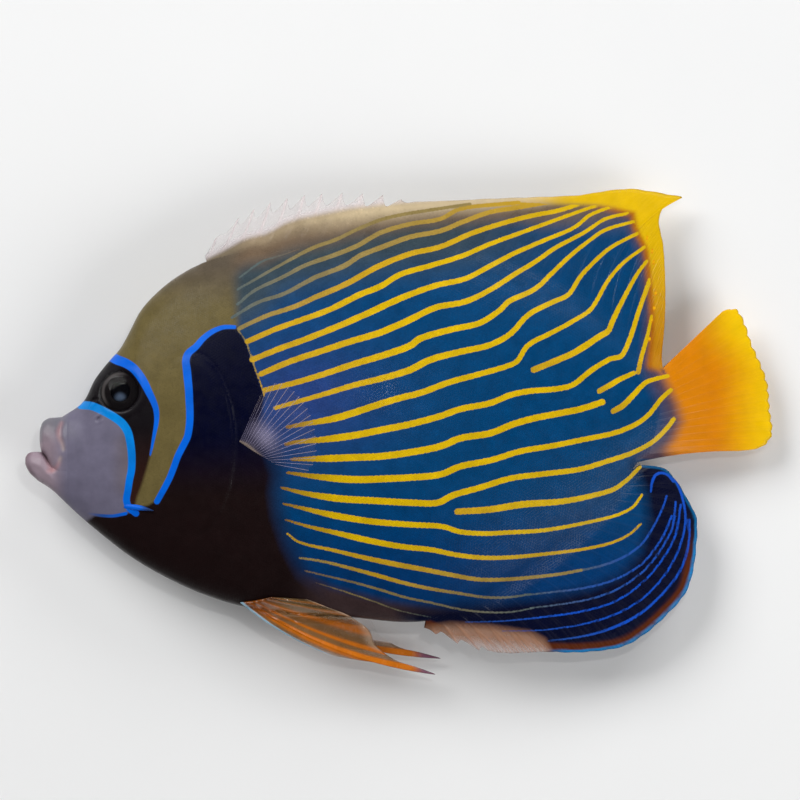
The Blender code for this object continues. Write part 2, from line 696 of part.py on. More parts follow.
def make_caudal(group):
    """The tail fin, which starts as thick as the stalk that carries it."""
    low, top = section_ends(np.array([TAIL_ROOT_X + CUT_GAP]))
    fan = np.linspace(0.0, 1.0, 13)
    halves = np.stack([fan, half_at(TAIL_ROOT_X, 1.0 - 2.0 * fan)], axis=-1)
    fin = Fin(
        root=np.vstack([top, low]), margin=smooth_line(CAUDAL_MARGIN),
        columns=CAUDAL_COLUMNS, rays=CAUDAL_RAYS, root_half=halves, taper=3.0, rows=8,
        notch=((0.0, 0.2), (0.1, 0.7), (0.9, 0.7), (1.0, 0.2)),
    )
    new_object("caudal_fin", fin.mesh(), "yellow", group)


def rising(base, rise, start):
    """Height of a fin that stands off the flank, from its base line outwards."""
    (x0, y0), (x1, y1) = base[0], base[-1]
    across = np.array([-(y1 - y0), x1 - x0])
    across = across / np.linalg.norm(across)

    def height(x, y):
        return start + rise * ((x - x0) * across[0] + (y - y0) * across[1])

    return height


def make_pectorals(trunk, group, cutters):
    """The left pectoral stands off the flank, and the right one is pressed flat under it."""
    fan_halves = ((0.0, 1.1), (0.5, 1.3), (1.0, 1.0))
    (x0, y0), (x1, y1) = PECTORAL_BASE[0], PECTORAL_BASE[-1]
    start = float(surface((x0 + x1) / 2, (y0 + y1) / 2, 1).z / MM) - PECTORAL_SUNK
    straight = ((0.0, 0.0, 0.0, 0.0), (1.0, 1.0, 1.0, 0.0))
    left = Fin(
        root=np.array(PECTORAL_BASE), margin=smooth_line(PECTORAL_TIPS), columns=straight,
        rays=PECTORAL_RAYS, root_half=fan_halves, edge_half=0.34, rows=5,
        height=rising(PECTORAL_BASE, PECTORAL_RISE, start),
    )
    right = Fin(
        root=np.array(PECTORAL_RIGHT_BASE), margin=smooth_line(PECTORAL_RIGHT_TIPS),
        columns=straight, rays=PECTORAL_RAYS, root_half=((0.0, 0.5), (1.0, 0.5)),
        edge_half=0.3, ridge=0.12, rows=5, flat_under=True,
    )
    pockets = []
    for word, fin in (("left", left), ("right", right)):
        new_object(f"pectoral_fin_{word}", fin.mesh(), "clear", group)
        pockets.append(spare_piece(f"pectoral_pocket_{word}", fin.socket(CUT_GAP), cutters))
    combine(trunk, pockets, "DIFFERENCE")


def make_pelvics(trunk, group, cutters):
    """The pelvic fins: a spine and five rays, the first ray drawn out to a thread."""
    pockets = []
    for word, turn_by in (("left", 0.0), ("right", PELVIC_SPREAD)):
        base = np.array(PELVIC_BASE)
        turn = math.radians(turn_by)
        spin = np.array([[math.cos(turn), -math.sin(turn)], [math.sin(turn), math.cos(turn)]])
        tips = (smooth_line(PELVIC_TIPS) - base[0]) @ spin.T + base[0]
        start, slope = PELVIC_TILT[word]
        x0 = base[0, 0]
        fin = Fin(
            root=base, margin=tips, columns=PELVIC_COLUMNS, rays=PELVIC_RAYS,
            root_half=((0.0, 1.2), (1.0, 0.8)), edge_half=0.32, ridge=0.25, rows=8,
            notch=((0.0, 0.2), (0.2, 1.0), (0.5, 1.4), (1.0, 0.4)),
            height=lambda x, y, start=start, slope=slope, x0=x0: start + slope * (x - x0),
        )
        new_object(f"pelvic_fin_{word}", fin.mesh(), "orange", group)
        pockets.append(spare_piece(f"pelvic_pocket_{word}", fin.socket(CUT_GAP), cutters))
    combine(trunk, pockets, "DIFFERENCE")


def main():
    """Builds the fish, node by node."""
    for ob in list(bpy.data.objects):
        bpy.data.objects.remove(ob, do_unlink=True)
    fish = bpy.data.collections.new("emperor_angelfish")
    cutters = bpy.data.collections.new("cutters")
    for group in (fish, cutters):
        bpy.context.scene.collection.children.link(group)
    body = make_body(fish)
    make_lip("upper_lip", UPPER_LIP, fish)
    make_lip("lower_jaw", LOWER_LIP, fish)
    make_eyes(body["head"], fish, cutters)
    make_gill_covers(body["head"], fish, cutters)
    make_cheek_spines(body["head"], fish, cutters)
    make_dorsal(fish)
    make_anal(fish)
    make_caudal(fish)
    make_pectorals(body["trunk"], fish, cutters)
    make_pelvics(body["trunk"], fish, cutters)


main()
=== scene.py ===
"""Looks of a life-size emperor angelfish, lying on its right flank.

The fish's snout points to -X, its back to +Y and its left flank up to +Z. Tables of
sizes are in millimetres, and tables of markings are places in the photograph, in
pixels, which one scale turns into millimetres. A skin, the fins and a coat of scales
follow the same forms, and take their colours from one set of markings.
"""

import logging
import math
from dataclasses import dataclass
from enum import Enum
from typing import Callable

import bmesh
import bpy
import numpy as np
from bpy.types import Material, Mesh, NodeSocket, Object
from mathutils import Matrix, Vector


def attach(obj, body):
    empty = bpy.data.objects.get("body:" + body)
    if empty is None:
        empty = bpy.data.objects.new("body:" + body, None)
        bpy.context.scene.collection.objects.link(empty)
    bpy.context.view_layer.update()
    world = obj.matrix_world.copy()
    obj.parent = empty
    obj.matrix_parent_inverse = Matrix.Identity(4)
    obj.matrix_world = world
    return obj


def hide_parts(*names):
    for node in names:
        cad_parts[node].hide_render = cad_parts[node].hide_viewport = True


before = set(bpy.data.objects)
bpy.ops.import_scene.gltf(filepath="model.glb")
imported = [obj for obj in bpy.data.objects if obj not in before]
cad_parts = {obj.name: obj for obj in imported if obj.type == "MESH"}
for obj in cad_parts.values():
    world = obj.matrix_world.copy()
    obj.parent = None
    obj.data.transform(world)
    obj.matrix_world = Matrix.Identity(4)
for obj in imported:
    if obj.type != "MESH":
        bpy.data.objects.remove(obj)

LOG = logging.getLogger("angelfish")
MM = 0.001
TOTAL_LENGTH = 270.0
PIXEL = 0.361
PHOTO_ORIGIN = (399.0, 432.0)
PHOTO_SIZE = 800

Array = np.ndarray
Pair = tuple[Array, Array]
Span = tuple[float, float]
Table = tuple[tuple[float, ...], ...]
Limits = tuple[tuple[str | float, ...], ...]
Height = Callable[[Array, Array], Array]


class Side(Enum):
    """The two flanks, by the sign of their height over the middle surface."""

    LEFT = 1
    RIGHT = -1


def clamp(value: Array, low: float = 0.0, high: float = 1.0) -> Array:
    """Keeps numbers between two limits."""
    return np.clip(value, low, high)


def ease(value: Array, start: float, end: float) -> Array:
    """Goes smoothly from 0 at start to 1 at end."""
    share = clamp((np.asarray(value, float) - start) / (end - start))
    return share * share * (3.0 - 2.0 * share)


def bell(value: Array, width: float, height: float = 1.0) -> Array:
    """A smooth hump round zero."""
    return height * np.exp(-(np.asarray(value, float) / width) ** 2)


def read(table: Table, x: Array, column: int = 1) -> Array:
    """Reads one column of a table of rows at x."""
    rows = np.asarray(table, float)
    return np.interp(x, rows[:, 0], rows[:, column])


def smooth_line(points: Table, steps: int = 10) -> Array:
    """Draws a dense line through points, by a centripetal Catmull-Rom curve.

    Args:
        points: The points that the line passes.
        steps: How many points it gets between two of them.

    Returns:
        The line's points, one a row.
    """
    p = np.array(points, float)
    p = np.vstack([2 * p[0] - p[1], p, 2 * p[-1] - p[-2]])
    out = []
    for i in range(1, len(p) - 2):
        knots = [0.0]
        for a, b in zip(p[i - 1:i + 2], p[i:i + 3]):
            knots.append(knots[-1] + max(np.linalg.norm(b - a), 1e-6) ** 0.5)
        k0, k1, k2, k3 = knots
        for t in np.linspace(k1, k2, steps, endpoint=False):
            a1 = ((k1 - t) * p[i - 1] + (t - k0) * p[i]) / (k1 - k0)
            a2 = ((k2 - t) * p[i] + (t - k1) * p[i + 1]) / (k2 - k1)
            a3 = ((k3 - t) * p[i + 1] + (t - k2) * p[i + 2]) / (k3 - k2)
            b1 = ((k2 - t) * a1 + (t - k0) * a2) / (k2 - k0)
            b2 = ((k3 - t) * a2 + (t - k1) * a3) / (k3 - k1)
            out.append(((k2 - t) * b1 + (t - k1) * b2) / (k2 - k1))
    out.append(p[-2])
    return np.array(out)


def lengths(line: Array) -> Array:
    """Distance along a line at each of its points."""
    return np.concatenate([[0.0], np.cumsum(np.linalg.norm(np.diff(line, axis=0), axis=1))])


def on_rim(u: Array, v: Array) -> Array:
    """Whether shares along and across a sheet lie on its rim."""
    return np.minimum(np.minimum(u, 1.0 - u), np.minimum(v, 1.0 - v)) < 1e-6


def along(line: Array, share: Array) -> Array:
    """Points at these shares of a line's own length."""
    length = lengths(line)
    at = np.asarray(share, float) * length[-1]
    return np.stack([np.interp(at, length, line[:, k]) for k in range(2)], axis=-1)


def seen(pixels: Table) -> Array:
    """Turns places in the photograph into millimetres on the fish."""
    places = np.array(pixels, float)
    across = (places[:, 0] - PHOTO_ORIGIN[0]) * PIXEL
    up = (PHOTO_ORIGIN[1] - places[:, 1]) * PIXEL
    return np.stack([across, up], axis=-1)


def linear(colour: tuple[int, int, int]) -> Array:
    """Turns a display colour of 0 to 255 into linear light."""
    value = np.array(colour, float) / 255.0
    return np.where(value <= 0.04045, value / 12.92, ((value + 0.055) / 1.055) ** 2.4)


PALETTE: dict[str, tuple[int, int, int]] = {
    "yellow": (210, 172, 6), "gold": (190, 150, 30), "tan": (140, 122, 74), "ash": (84, 96, 96),
    "cobalt": (16, 76, 186), "steel": (38, 78, 150), "line": (0, 98, 216),
    "azure": (0, 130, 214), "blue": (0, 62, 108), "deep_blue": (0, 49, 102),
    "violet": (44, 60, 124), "slate": (54, 68, 76), "umber": (108, 90, 72),
    "olive": (102, 90, 54), "nape": (90, 80, 67), "snout": (106, 102, 121),
    "lip": (148, 131, 141), "pink": (176, 128, 130), "mask": (16, 12, 16),
    "mask_low": (48, 26, 20), "patch": (1, 3, 30), "belly": (26, 15, 15), "navy": (4, 8, 36),
    "margin_brown": (84, 36, 12), "margin_blue": (0, 128, 196), "sun": (238, 192, 0),
    "corn": (220, 178, 0), "amber": (212, 126, 0), "ochre": (178, 114, 12),
    "rust": (168, 98, 12), "plum": (92, 66, 70), "web": (226, 214, 216),
    "web_tan": (172, 124, 94), "straw": (206, 186, 150), "orange": (204, 110, 4),
    "moss": (112, 92, 60), "bronze": (140, 102, 34), "belly_rim": (60, 45, 46),
    "thread": (104, 70, 100), "frost": (150, 186, 206), "peach": (214, 184, 156),
    "ink": (16, 14, 28), "lilac": (206, 196, 228), "veil": (132, 124, 160),
    "gristle": (190, 170, 156), "lip_grey": (102, 105, 112), "lip_dark": (92, 62, 74),
    # The grey of the iris's rim is a painted highlight, laid only on its upper-left side.
    # The lens colour is a grey-blue painted reflection on the dark lens.
    "iris": (16, 12, 13), "iris_highlight": (98, 93, 92), "pupil": (4, 4, 7), "lens": (92, 108, 132),
    "spine_tip": (30, 44, 70),
}


def paint(name: str) -> Array:
    """A colour of the palette in linear light."""
    return linear(PALETTE[name])


def blend(under: Array, over: Array, share: Array) -> Array:
    """Lays one colour over others by these shares."""
    return under + (over - under) * share[..., None]


@dataclass
class FishForm:
    """The fish's body as a middle surface with a half thickness on either side."""

    flank_height: float = 20.9
    snout_x: float = -121.7
    tail_root_x: float = 90.4
    tail_root_slant: float = 4.2
    slant_start_x: float = 54.0
    tail_sag: float = 11.0
    tail_sag_start_x: float = 20.0
    fin_sag: float = 4.0
    fin_sag_start_y: float = 62.0
    fin_sag_reach: float = 26.0
    back_line: Table = (
        (-121.7, 5.4), (-114.1, 10.8), (-109.7, 19.1), (-104.3, 26.0), (-100.7, 30.0),
        (-97.1, 36.5), (-93.1, 44.0), (-86.3, 51.3), (-79.1, 56.7), (-69.7, 61.5),
        (-58.8, 64.3), (-46.6, 65.6), (-32.1, 66.2), (-17.7, 66.2), (0.4, 65.4), (18.4, 63.2),
        (36.5, 59.2), (54.5, 52.4), (72.6, 41.6), (83.4, 32.2), (94.6, 22.4), (100.0, 17.0),
    )
    belly_line: Table = (
        (-121.7, -24.2), (-115.2, -30.3), (-107.9, -36.5), (-97.1, -44.8), (-86.3, -51.3),
        (-71.8, -58.1), (-57.0, -62.8), (-35.7, -65.8), (-18.1, -66.8), (1.1, -68.6),
        (11.2, -67.9), (25.6, -63.2), (40.1, -55.6), (54.5, -45.5), (69.0, -32.5),
        (79.8, -19.9), (86.3, -10.8), (92.0, -4.0),
    )
    half_width: Table = (
        (-121.7, 7.0), (-116.0, 8.8), (-108.0, 11.4), (-100.0, 13.6), (-90.0, 16.0),
        (-72.0, 19.4), (-54.0, 21.4), (-36.0, 22.1), (-18.0, 22.0), (0.0, 21.4), (18.0, 19.3),
        (36.0, 16.2), (54.0, 12.8), (72.0, 9.2), (86.0, 6.6), (100.0, 5.0),
    )
    back_edge: Table = (
        (-121.7, 0.5), (-75.0, 0.6), (-50.0, 1.6), (0.0, 2.1), (60.0, 1.9), (95.0, 1.2),
    )
    belly_edge: Table = (
        (-121.7, 0.5), (-57.0, 0.9), (5.0, 1.2), (25.0, 1.8), (60.0, 1.7), (90.0, 1.2),
    )
    section_power: Table = ((-121.7, 0.45), (-100.0, 0.42), (-75.0, 0.5), (-50.0, 0.6))
    eye: Span = (-100.2, 14.6)
    orbit_radius: float = 8.1
    orbit_rim: Span = (1.3, 0.22)
    socket: Span = (7.0, 6.0)
    socket_depth: float = 3.0
    gill: Span = (-74.6, -4.6)
    gill_reach: Span = (14.4, 29.0)
    gill_raise: float = 0.55
    gill_edge: Span = (1.15, 0.98)
    gill_power: float = 1.5
    groove_at: float = 1.14
    groove: Span = (0.035, -0.2)
    nostrils: Table = ((-109.8, 11.4), (-108.0, 4.8))
    nostril_pit: Span = (0.75, -0.9)
    nostril_rim_at: float = 1.25
    nostril_rim: Span = (0.4, 0.35)

    def __post_init__(self) -> None:
        """Draws the smooth lines."""
        self.back = smooth_line(self.back_line)
        self.belly = smooth_line(self.belly_line)
        self.width = smooth_line(self.half_width)

    def middle(self, x: Array, y: Array) -> Array:
        """Height of the middle surface over the floor."""
        tail = (x - self.tail_sag_start_x) / (TOTAL_LENGTH / 2 - self.tail_sag_start_x)
        outer = (np.abs(y) - self.fin_sag_start_y) / self.fin_sag_reach
        sag = self.tail_sag * clamp(tail, 0.0, 1.1) ** 2
        return self.flank_height - sag - self.fin_sag * clamp(outer, 0.0, 1.1) ** 2

    def lean(self, x: Array) -> Array:
        """How far a section's ends lean back at its top."""
        return self.tail_root_slant * clamp(
            (x - self.slant_start_x) / (self.tail_root_x - self.slant_start_x)) ** 2

    def section_ends(self, x: Array) -> Pair:
        """Ends of the section at x, on the belly and the back line."""
        lean = self.lean(x)
        low = np.stack([x - lean, np.interp(x - lean, self.belly[:, 0], self.belly[:, 1])], -1)
        top = np.stack([x + lean, np.interp(x + lean, self.back[:, 0], self.back[:, 1])], -1)
        return low, top

    def section_half(self, x: Array, s: Array) -> Array:
        """Half thickness of the section at x, with s from -1 on the belly to 1 on the back."""
        edge = np.where(s > 0, read(self.back_edge, x), read(self.belly_edge, x))
        bulge = clamp(1.0 - s ** 2) ** read(self.section_power, x)
        width = np.interp(x, self.width[:, 0], self.width[:, 1])
        return edge + (width - edge) * bulge

    def relief(self, x: Array, y: Array) -> Array:
        """What orbit, gill cover, groove and nostrils add to the half thickness."""
        from_eye = np.hypot(x - self.eye[0], y - self.eye[1])
        orbit = bell(from_eye - self.orbit_radius, *self.orbit_rim)
        socket = -self.socket_depth * ease(from_eye, *self.socket)
        (gill_x, gill_y), (wide, high) = self.gill, self.gill_reach
        oval = np.hypot((x - gill_x) / wide, (y - gill_y) / high)
        rearward = clamp((x - gill_x + wide) / (2 * wide)) ** self.gill_power
        flap = self.gill_raise * rearward * ease(oval, *self.gill_edge)
        groove = rearward * bell(oval - self.groove_at, *self.groove)
        nostrils = 0.0
        for nx, ny in self.nostrils:
            away = np.hypot(x - nx, y - ny)
            nostrils = nostrils + bell(away, *self.nostril_pit)
            nostrils = nostrils + bell(away - self.nostril_rim_at, *self.nostril_rim)
        return orbit + socket + flap + groove + nostrils

    def station(self, x: Array, y: Array) -> Pair:
        """The section that passes a place, and how far up it the place lies."""
        at, s = np.array(x, float), np.zeros_like(x, dtype=float)
        for _ in range(4):
            low, top = self.section_ends(at)
            s = (2 * y - top[..., 1] - low[..., 1]) / (top[..., 1] - low[..., 1])
            at = x - clamp(s, -1.0, 1.0) * self.lean(at)
        return at, s

    def half(self, x: Array, y: Array) -> Array:
        """Half thickness of the body at a place, and 0 outside it."""
        at, s = self.station(x, y)
        inside = (np.abs(s) <= 1.0) & (at >= self.snout_x) & (at <= self.tail_root_x)
        return np.where(inside, self.section_half(at, s) + self.relief(x, y), 0.0)

    def surface(self, x: float, y: float, side: Side, lift: float = 0.0) -> Vector:
        """A point on a flank without relief, in millimetres, lifted off it."""
        at, s = self.station(np.array(x), np.array(y))
        half = self.section_half(at, clamp(s, -1.0, 1.0))
        return Vector((x, y, float(self.middle(x, y) + side.value * (half + lift))))

    def turn(self, x: float, y: float, side: Side, share: float = 1.0) -> Matrix:
        """The rotation that sets +Z along this share of the flank's slope."""
        east = self.surface(x + 0.5, y, side) - self.surface(x - 0.5, y, side)
        north = self.surface(x, y + 0.5, side) - self.surface(x, y - 0.5, side)
        normal = (east.cross(north) * side.value).to_track_quat("Z", "Y")
        upright = Vector((0.0, 0.0, side.value)).to_track_quat("Z", "Y")
        return upright.slerp(normal, share).to_matrix().to_4x4()


FORM = FishForm()


@dataclass
class Fin:
    """A fan of rays between a root line and a margin line.

    columns holds, for the fan's own share, the shares of the root and margin lines
    that a ray joins, and how far the ray bows sideways over its length.
    """

    root: Array
    margin: Array
    columns: Table
    rays: int
    root_half: Table
    edge_half: float = 0.28
    taper: float = 1.6
    ridge: float = 0.16
    spine_end: float = 0.0
    spine_reach: float = 0.0
    spine_flat: float = 2.0
    scallop: float = 0.5
    fillet: float = 0.0
    fillet_reach: float = 3.0
    ray_width: float = 0.085
    ray_taper: float = 0.35
    spine_width: Span = (0.15, 0.09)
    fork: float = 1.0
    forks: Table = ((0.23, 0.25), (0.11, 0.55))
    spines_rise: Span = (0.0, 0.04)
    spines_fade: float = 0.15
    lobe: tuple[float, float, float] = (1.7, 1.25, 0.9)
    lobe_half: float = 0.46
    longest_lobe: float = 0.28
    height: Height = FORM.middle

    def ray_height(self, fan: Array, reach: Array) -> Array:
        """How much of a ray there is at a place, from 0 between rays to 1 on one.

        Args:
            fan: Share of the way across the fan.
            reach: Share of the way from root to margin.

        Returns:
            One ridge for each ray, which forks twice on its way out unless it is a spine.
        """
        phase = fan * self.rays % 1.0 - 0.5
        soft = (fan >= self.spine_end) * 1.0
        (wide, early), (narrow, late) = self.forks
        first = wide * self.fork * ease(reach, early, 1.0) * soft
        second = narrow * self.fork * ease(reach, late, 1.0) * soft
        spine = self.spine_width[0] - self.spine_width[1] * reach
        width = np.where(soft > 0, self.ray_width * (1.0 - self.ray_taper * reach), spine)
        ridges = [
            bell(phase - a * first - b * second, width) for a in (-1, 1) for b in (-1, 1)]
        return np.max(ridges, axis=0)

    def place(self, fan: Array, reach: Array) -> Pair:
        """Finds points of the fin's middle surface, seen from the side.

        Args:
            fan: Share of the way across the fan.
            reach: Share of the way from root to margin, less than 0 inside the body.

        Returns:
            The points, and the length of the ray at each.
        """
        start = along(self.root, read(self.columns, fan, 1))
        end = along(self.margin, read(self.columns, fan, 2))
        bow = read(self.columns, fan, 3)
        way = end - start
        length = np.linalg.norm(way, axis=-1)
        unit = way / length[..., None]
        phase = np.abs(fan * self.rays % 1.0 - 0.5)
        spiny = (fan < self.spine_end) * ease(fan, *self.spines_rise)
        past = fan / max(self.spine_end, 0.01)
        spiny = spiny * ease(past, self.spine_flat, self.spine_flat - self.spines_fade)
        high, power, drop = self.lobe
        lobe = high * clamp(1.0 - phase / self.lobe_half) ** power - drop
        tip = np.minimum(self.spine_reach * spiny * lobe, self.longest_lobe * length)
        edge = self.scallop * (fan >= self.spine_end) * (0.5 - 2.0 * phase ** 1.5)
        end = end + unit * (tip + edge)[..., None]
        aside = np.stack([-unit[..., 1], unit[..., 0]], -1)
        arc = (bow * length * 4 * clamp(reach) * (1 - clamp(reach)))[..., None]
        return start + (end - start) * reach[..., None] + aside * arc, length

    def half(self, fan: Array, reach: Array, length: Array) -> Array:
        """Half thickness of the web, without its rays."""
        share = clamp(reach)
        thick = read(self.root_half, fan)
        web = self.edge_half + (thick - self.edge_half) * (1.0 - share) ** self.taper
        return web + self.fillet * np.exp(-share * length / self.fillet_reach)


def root_line(which: int, ends: tuple[float, float]) -> Array:
    """The stretch of the belly (0) or back (1) line that carries a fin."""
    return FORM.section_ends(np.linspace(*ends, 160))[which]


DORSAL = Fin(
    root=root_line(1, (-69.5, 92.0)),
    margin=smooth_line((
        (-70.0, 63.4), (-65.5, 70.4), (-57.0, 76.6), (-47.0, 80.9), (-36.0, 83.4),
        (-24.0, 84.3), (-12.0, 84.0), (0.4, 83.2), (18.4, 83.6), (36.5, 84.4), (54.0, 85.0),
        (65.3, 85.6), (76.0, 87.3), (84.0, 87.9), (91.3, 87.0), (97.0, 86.0), (102.6, 84.8),
        (97.6, 82.9), (94.9, 79.8), (94.0, 75.8), (95.5, 67.5), (96.3, 51.3), (96.0, 38.6),
        (94.6, 24.6),
    )),
    columns=(
        (0.0, 0.0, 0.0, 0.0), (0.03, 0.008, 0.055, -0.03), (0.2, 0.19, 0.2, -0.05),
        (14 / 33, 0.475, 0.42, -0.05), (0.55, 0.66, 0.585, -0.01), (44 / 66, 0.82, 0.712, 0.12),
        (45 / 66, 0.828, 0.733, 0.15), (46 / 66, 0.842, 0.757, 0.125),
        (48 / 66, 0.868, 0.79, 0.09), (0.80, 0.91, 0.84, 0.05), (1.0, 1.0, 1.0, 0.0),
    ),
    rays=33,
    root_half=((0.0, 0.6), (0.1, 1.5), (0.4, 2.1), (0.8, 1.8), (1.0, 1.2)),
    spine_end=14 / 33,
    spine_reach=2.9,
    spine_flat=0.82,
    scallop=0.3,
    fillet=1.5,
)
ANAL = Fin(
    root=root_line(0, (9.5, 88.0)),
    margin=smooth_line((
        (9.0, -70.6), (22.4, -76.0), (36.0, -79.6), (52.0, -79.4), (66.8, -79.5),
        (81.2, -77.4), (88.8, -73.0), (96.0, -66.8), (103.6, -58.1), (106.1, -50.9),
        (107.5, -40.8), (107.5, -31.0), (104.4, -24.6), (100.0, -17.4), (95.8, -13.2),
        (87.2, -11.9),
    )),
    columns=(
        (0.0, 0.0, 0.0, 0.0), (0.125, 0.10, 0.15, 0.03), (0.5, 0.52, 0.50, 0.05),
        (0.8, 0.85, 0.80, 0.03), (1.0, 1.0, 1.0, 0.0),
    ),
    rays=24,
    root_half=((0.0, 1.1), (0.2, 1.7), (0.8, 1.7), (1.0, 1.2)),
    spine_end=3 / 24,
    spine_reach=2.0,
    scallop=0.4,
    fillet=1.5,
)
TAIL_FAN = np.linspace(0.0, 1.0, 25)
CAUDAL = Fin(
    root=np.vstack(FORM.section_ends(np.array([FORM.tail_root_x]))[::-1]),
    margin=smooth_line((
        (117.2, 43.8), (121.8, 44.2), (124.5, 40.2), (127.4, 31.8), (130.2, 25.6),
        (133.0, 18.0), (134.0, 8.0), (134.9, 1.2), (134.6, -1.6), (132.4, -4.6),
        (129.0, -6.2), (123.2, -6.9),
    )),
    columns=(
        (0.0, 0.0, 0.0, 0.0), (0.12, 0.10, 0.10, 0.02), (0.5, 0.5, 0.52, 0.0),
        (0.9, 0.92, 0.90, 0.02), (1.0, 1.0, 1.0, 0.03),
    ),
    rays=17,
    root_half=tuple(zip(TAIL_FAN, FORM.section_half(FORM.tail_root_x, 1.0 - 2.0 * TAIL_FAN))),
    taper=3.0,
    scallop=0.9,
    ridge=0.06,
)
BODY_FINS = {"dorsal_fin": DORSAL, "anal_fin": ANAL, "caudal_fin": CAUDAL}


PECTORAL_BASE = ((-57.6, -4.0), (-53.0, -7.6), (-47.8, -11.0))
PECTORAL_TIPS = (
    (-50.6, 11.2), (-47.4, 15.6), (-43.0, 17.4), (-38.4, 15.0), (-34.4, 10.6), (-31.4, 4.4),
    (-30.0, -3.4), (-30.6, -10.4), (-33.6, -14.6),
)
PECTORAL_RISE = 0.85
PECTORAL_SUNK = 1.5
PECTORAL_RIGHT_HEIGHT = 0.3
PECTORAL_RIGHT_BASE = ((-52.0, 4.0), (-53.0, -1.0), (-52.0, -6.0))
PECTORAL_RIGHT_TIPS = (
    (-34.0, 11.6), (-26.0, 12.0), (-18.5, 9.6), (-14.0, 5.0), (-12.5, -0.6), (-14.4, -6.0),
    (-20.0, -10.4), (-28.0, -12.4), (-36.0, -12.0),
)
PELVIC_BASE = ((-57.4, -61.4), (-52.4, -60.8), (-46.0, -59.4))
PELVIC_TIPS = (
    (-27.5, -79.6), (-21.0, -81.4), (-1.0, -84.6), (7.0, -86.3), (13.9, -88.0), (6.0, -85.0),
    (-1.2, -82.6), (-8.3, -77.3), (-11.2, -71.5), (-17.8, -66.4), (-27.0, -62.6),
    (-33.0, -60.2),
)
PELVIC_BARE = {Side.LEFT: 2.0, Side.RIGHT: 0.34}
PELVIC_COLUMNS = (
    (0.0, 0.0, 0.0, -0.04), (2 / 12, 0.17, 0.07, -0.05), (3 / 12, 0.25, 0.445, -0.065),
    (4 / 12, 0.34, 0.61, -0.05), (5 / 12, 0.42, 0.645, -0.035), (7 / 12, 0.6, 0.74, -0.02),
    (9 / 12, 0.8, 0.85, -0.01), (1.0, 1.0, 1.0, 0.0),
)
PELVIC_SPREAD = {Side.LEFT: 0.0, Side.RIGHT: 4.5}
PELVIC_START = {Side.LEFT: 23.8, Side.RIGHT: 18.0}
PELVIC_SLOPE = -0.18
EASTWARD = (1.0, 0.0)


@dataclass
class Chart:
    """A fine grid over the fish's side that holds what is drawn and worked out there."""

    west: float = -140.0
    south: float = -95.0
    pitch: float = 0.3
    columns: int = 940
    rows: int = 640
    far: float = 6.0

    def __post_init__(self) -> None:
        """Works out the place of each cell."""
        self.x = self.west + self.pitch * np.arange(self.columns)
        self.y = self.south + self.pitch * np.arange(self.rows)
        self.xx, self.yy = np.meshgrid(self.x, self.y)

    def blank(self, value: float) -> Array:
        """A field with one value all over."""
        return np.full((self.rows, self.columns), value)

    def stroke(
        self, distance: Array, tint: Array, line: Array,
        widths: Array, tints: Array,
    ) -> None:
        """Draws a stroke: signed distances to its edge, and the colour of the nearest one.

        Args:
            distance: The field of signed distances, which is changed.
            tint: The field of colours, which is changed.
            line: The points of the stroke's middle.
            widths: Its width at each point.
            tints: Its colour at each point.
        """
        for k in range(len(line) - 1):
            a, b = line[k], line[k + 1]
            reach = self.far + max(widths[k], widths[k + 1]) / 2
            low = np.floor((np.minimum(a, b) - reach - (self.west, self.south)) / self.pitch)
            high = np.ceil((np.maximum(a, b) + reach - (self.west, self.south)) / self.pitch)
            (c0, r0), (c1, r1) = np.maximum(low, 0).astype(int), np.maximum(high, 0).astype(int) + 1
            xs, ys = self.xx[r0:r1, c0:c1], self.yy[r0:r1, c0:c1]
            way = b - a
            t = clamp(((xs - a[0]) * way[0] + (ys - a[1]) * way[1]) / max(way @ way, 1e-9))
            off = np.hypot(xs - a[0] - t * way[0], ys - a[1] - t * way[1])
            off = off - (widths[k] + (widths[k + 1] - widths[k]) * t) / 2
            nearer = off < distance[r0:r1, c0:c1]
            distance[r0:r1, c0:c1][nearer] = off[nearer]
            colour = tints[k] + (tints[k + 1] - tints[k]) * t[..., None]
            tint[r0:r1, c0:c1][nearer] = colour[nearer]

    def region(self, corners: Array) -> Array:
        """Signed distances to a closed outline, negative inside."""
        ring = np.vstack([corners, corners[:1]])
        inside = np.zeros((self.rows, self.columns), bool)
        for (x0, y0), (x1, y1) in zip(ring, ring[1:]):
            if y0 == y1:
                continue
            crosses = (y0 > self.y) != (y1 > self.y)
            at = x0 + (self.y[crosses] - y0) * (x1 - x0) / (y1 - y0)
            inside[crosses] ^= self.x[None, :] < at[:, None]
        distance = self.blank(self.far)
        spare = np.zeros((self.rows, self.columns, 3))
        self.stroke(distance, spare, ring, np.zeros(len(ring)), np.zeros((len(ring), 3)))
        return np.where(inside, -distance, distance)

    def look_up(self, values: Array, x: Array, y: Array) -> Array:
        """Reads a field at places, between its cells."""
        c = clamp((np.asarray(x) - self.west) / self.pitch, 0.0, self.columns - 1.001)
        r = clamp((np.asarray(y) - self.south) / self.pitch, 0.0, self.rows - 1.001)
        c0, r0 = c.astype(int), r.astype(int)
        fc, fr = c - c0, r - r0
        if values.ndim == 3:
            fc, fr = fc[..., None], fr[..., None]
        near = values[r0, c0] * (1 - fc) + values[r0, c0 + 1] * fc
        far = values[r0 + 1, c0] * (1 - fc) + values[r0 + 1, c0 + 1] * fc
        return near * (1 - fr) + far * fr


CHART = Chart()


def blur(field: Array, width: float) -> Array:
    """Smooths a field of the chart over this width in millimetres."""
    up = np.fft.fftfreq(CHART.rows, CHART.pitch)[:, None]
    along_x = np.fft.rfftfreq(CHART.columns, CHART.pitch)[None, :]
    soften = np.exp(-2.0 * (math.pi * width) ** 2 * (up ** 2 + along_x ** 2))
    return np.fft.irfft2(np.fft.rfft2(field) * soften, s=field.shape)


